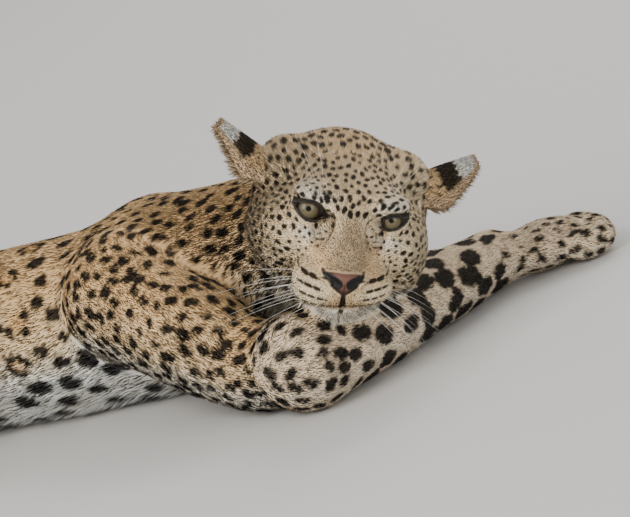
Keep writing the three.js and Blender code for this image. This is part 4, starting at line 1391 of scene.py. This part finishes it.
class LEOPARD_OT_whiskers(bpy.types.Operator):
    """Adds the long white whiskers and brow hairs"""

    bl_idname = "leopard.whiskers"
    bl_label = "Whiskers"

    def execute(self, context):
        rng = np.random.default_rng(5)
        verts, faces = [], []
        jobs = []
        for name, s in SIDES:
            for i in range(context.scene.leopard.whiskers):
                row, k = i % 4, i // 4
                start = np.array([93 - 8 * k, s * (19 + 6 * k), -24 - 5 * row + 2 * k])
                aim = unit(np.array([0.15 - 0.3 * k, s * 1.0, -0.1 - 0.14 * row + rng.uniform(-0.1, 0.1)]))
                jobs.append((start, aim, rng.uniform(50, 85), 0.22, np.array([-0.35, 0, -0.5])))
            for i in range(2):
                start = np.array([48 - 3 * i, s * (27 + 5 * i), 46.0])
                aim = unit(np.array([0.3, s * (0.2 + 0.25 * i), 0.9]))
                jobs.append((start, aim, rng.uniform(55, 70), 0.16, np.array([-0.5, s * 0.25, 0.0])))
        for start, aim, size, thick, droop in jobs:
            base = len(verts)
            steps, m = 12, 4
            side = unit(np.cross(aim, (0, 0.2, 1)))
            high = np.cross(side, aim)
            for i in range(steps + 1):
                t = i / steps
                at = start + aim * size * t + droop * size * 0.55 * t * t
                r = thick * (1 - 0.85 * t)
                for j in range(m):
                    w = 2 * math.pi * j / m
                    verts.append(at + side * r * math.cos(w) + high * r * math.sin(w))
            faces += band_faces(steps, m, base)
            faces.append((base + 3, base + 2, base + 1, base))
            top = base + steps * m
            faces.append((top, top + 1, top + 2, top + 3))
        obj = mesh_object("whiskers", from_head(np.array(verts)) * MM, faces)
        face_outwards(obj.data)
        # Keratin: pale and translucent-looking, with a soft shine
        material, tree, shader = new_material("whisker_keratin")
        shader.inputs["Base Color"].default_value = (*linear("#E9E4DA"), 1)
        shader.inputs["Roughness"].default_value = 0.35
        obj.data.materials.append(material)
        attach(obj, "root")
        return {"FINISHED"}


class LEOPARD_OT_stage(bpy.types.Operator):
    """Sets the floor, the soft lights and the camera"""

    bl_idname = "leopard.stage"
    bl_label = "Stage"

    def execute(self, context):
        bpy.ops.mesh.primitive_plane_add(size=14, location=(0, 0, -0.0005))
        floor = context.object
        floor.name = "floor"
        # Matt painted floor
        material, tree, shader = new_material("pale_floor")
        shader.inputs["Base Color"].default_value = (*linear("#CFCBC4"), 1)
        shader.inputs["Roughness"].default_value = 0.9
        floor.data.materials.append(material)
        world = context.scene.world or bpy.data.worlds.new("World")
        context.scene.world = world
        world.use_nodes = True
        back = world.node_tree.nodes.get("Background")
        back.inputs[0].default_value = (*linear("#DDE1E6"), 1)
        back.inputs[1].default_value = 0.75
        for name, place, power, size in (
            ("key", (-0.9, -2.8, 2.3), 112, 2.2),
            ("fill", (2.7, -2.2, 0.9), 36, 1.7),
            ("rim", (0.4, 2.2, 2.2), 45, 1.8),
        ):
            light = bpy.data.lights.new(name, "AREA")
            light.energy = power
            light.size = size
            lamp = bpy.data.objects.new(name, light)
            lamp.location = place
            lamp.rotation_euler = (Vector((0.05, 0, 0.1)) - Vector(place)).to_track_quat("-Z", "Y").to_euler()
            context.scene.collection.objects.link(lamp)
        self.camera(context)
        return {"FINISHED"}

    def camera(self, context):
        azimuth, elevation, roll = (math.radians(a) for a in CAMERA_TURNS)
        scale, distance = MM_PER_PIXEL, CAMERA_DISTANCE
        level = np.array([math.cos(azimuth), math.sin(azimuth), 0])
        ahead = np.array([math.sin(azimuth), -math.cos(azimuth), 0])
        back = ahead * math.cos(elevation) + np.array([0, 0, math.sin(elevation)])
        rise = np.cross(back, level)
        right = level * math.cos(roll) - rise * math.sin(roll)
        high = level * math.sin(roll) + rise * math.cos(roll)
        across = FRAME_SIZE[0] / 2 - HEAD_IN_FRAME[0]
        down = FRAME_SIZE[1] / 2 - HEAD_IN_FRAME[1]
        middle = np.array(HEAD_CENTRE) + right * across * scale - high * down * scale
        camera = bpy.data.cameras.new("camera")
        camera.lens = camera.sensor_width * distance / (FRAME_SIZE[0] * scale)
        camera.clip_end = 100
        eye = bpy.data.objects.new("camera", camera)
        place = Matrix(np.stack([right, high, back], 1).tolist()).to_4x4()
        place.translation = Vector((middle + back * distance) * MM)
        eye.matrix_world = place
        context.scene.collection.objects.link(eye)
        context.scene.camera = eye


class LEOPARD_PT_panel(bpy.types.Panel):
    """Lists the steps that build the leopard."""

    bl_label = "Leopard"
    bl_idname = "LEOPARD_PT_panel"
    bl_space_type = "VIEW_3D"
    bl_region_type = "UI"
    bl_category = "Leopard"

    def draw(self, context):
        settings = context.scene.leopard
        for key in ("cell", "iris", "whiskers"):
            self.layout.prop(settings, key)
        for step_class in STEPS:
            self.layout.operator(step_class.bl_idname)


STEPS = (
    LEOPARD_OT_skin,
    LEOPARD_OT_coat,
    LEOPARD_OT_ears,
    LEOPARD_OT_eyes,
    LEOPARD_OT_whiskers,
    LEOPARD_OT_stage,
)
CLASSES = (LeopardSettings, *STEPS, LEOPARD_PT_panel)


def register():
    for item in CLASSES:
        bpy.utils.register_class(item)
    bpy.types.Scene.leopard = bpy.props.PointerProperty(type=LeopardSettings)


def unregister():
    del bpy.types.Scene.leopard
    for item in reversed(CLASSES):
        bpy.utils.unregister_class(item)


def main():
    register()
    bpy.ops.leopard.skin()
    bpy.ops.leopard.coat()
    bpy.ops.leopard.ears()
    bpy.ops.leopard.eyes()
    bpy.ops.leopard.whiskers()
    bpy.ops.leopard.stage()


if __name__ == "__main__":
    main()
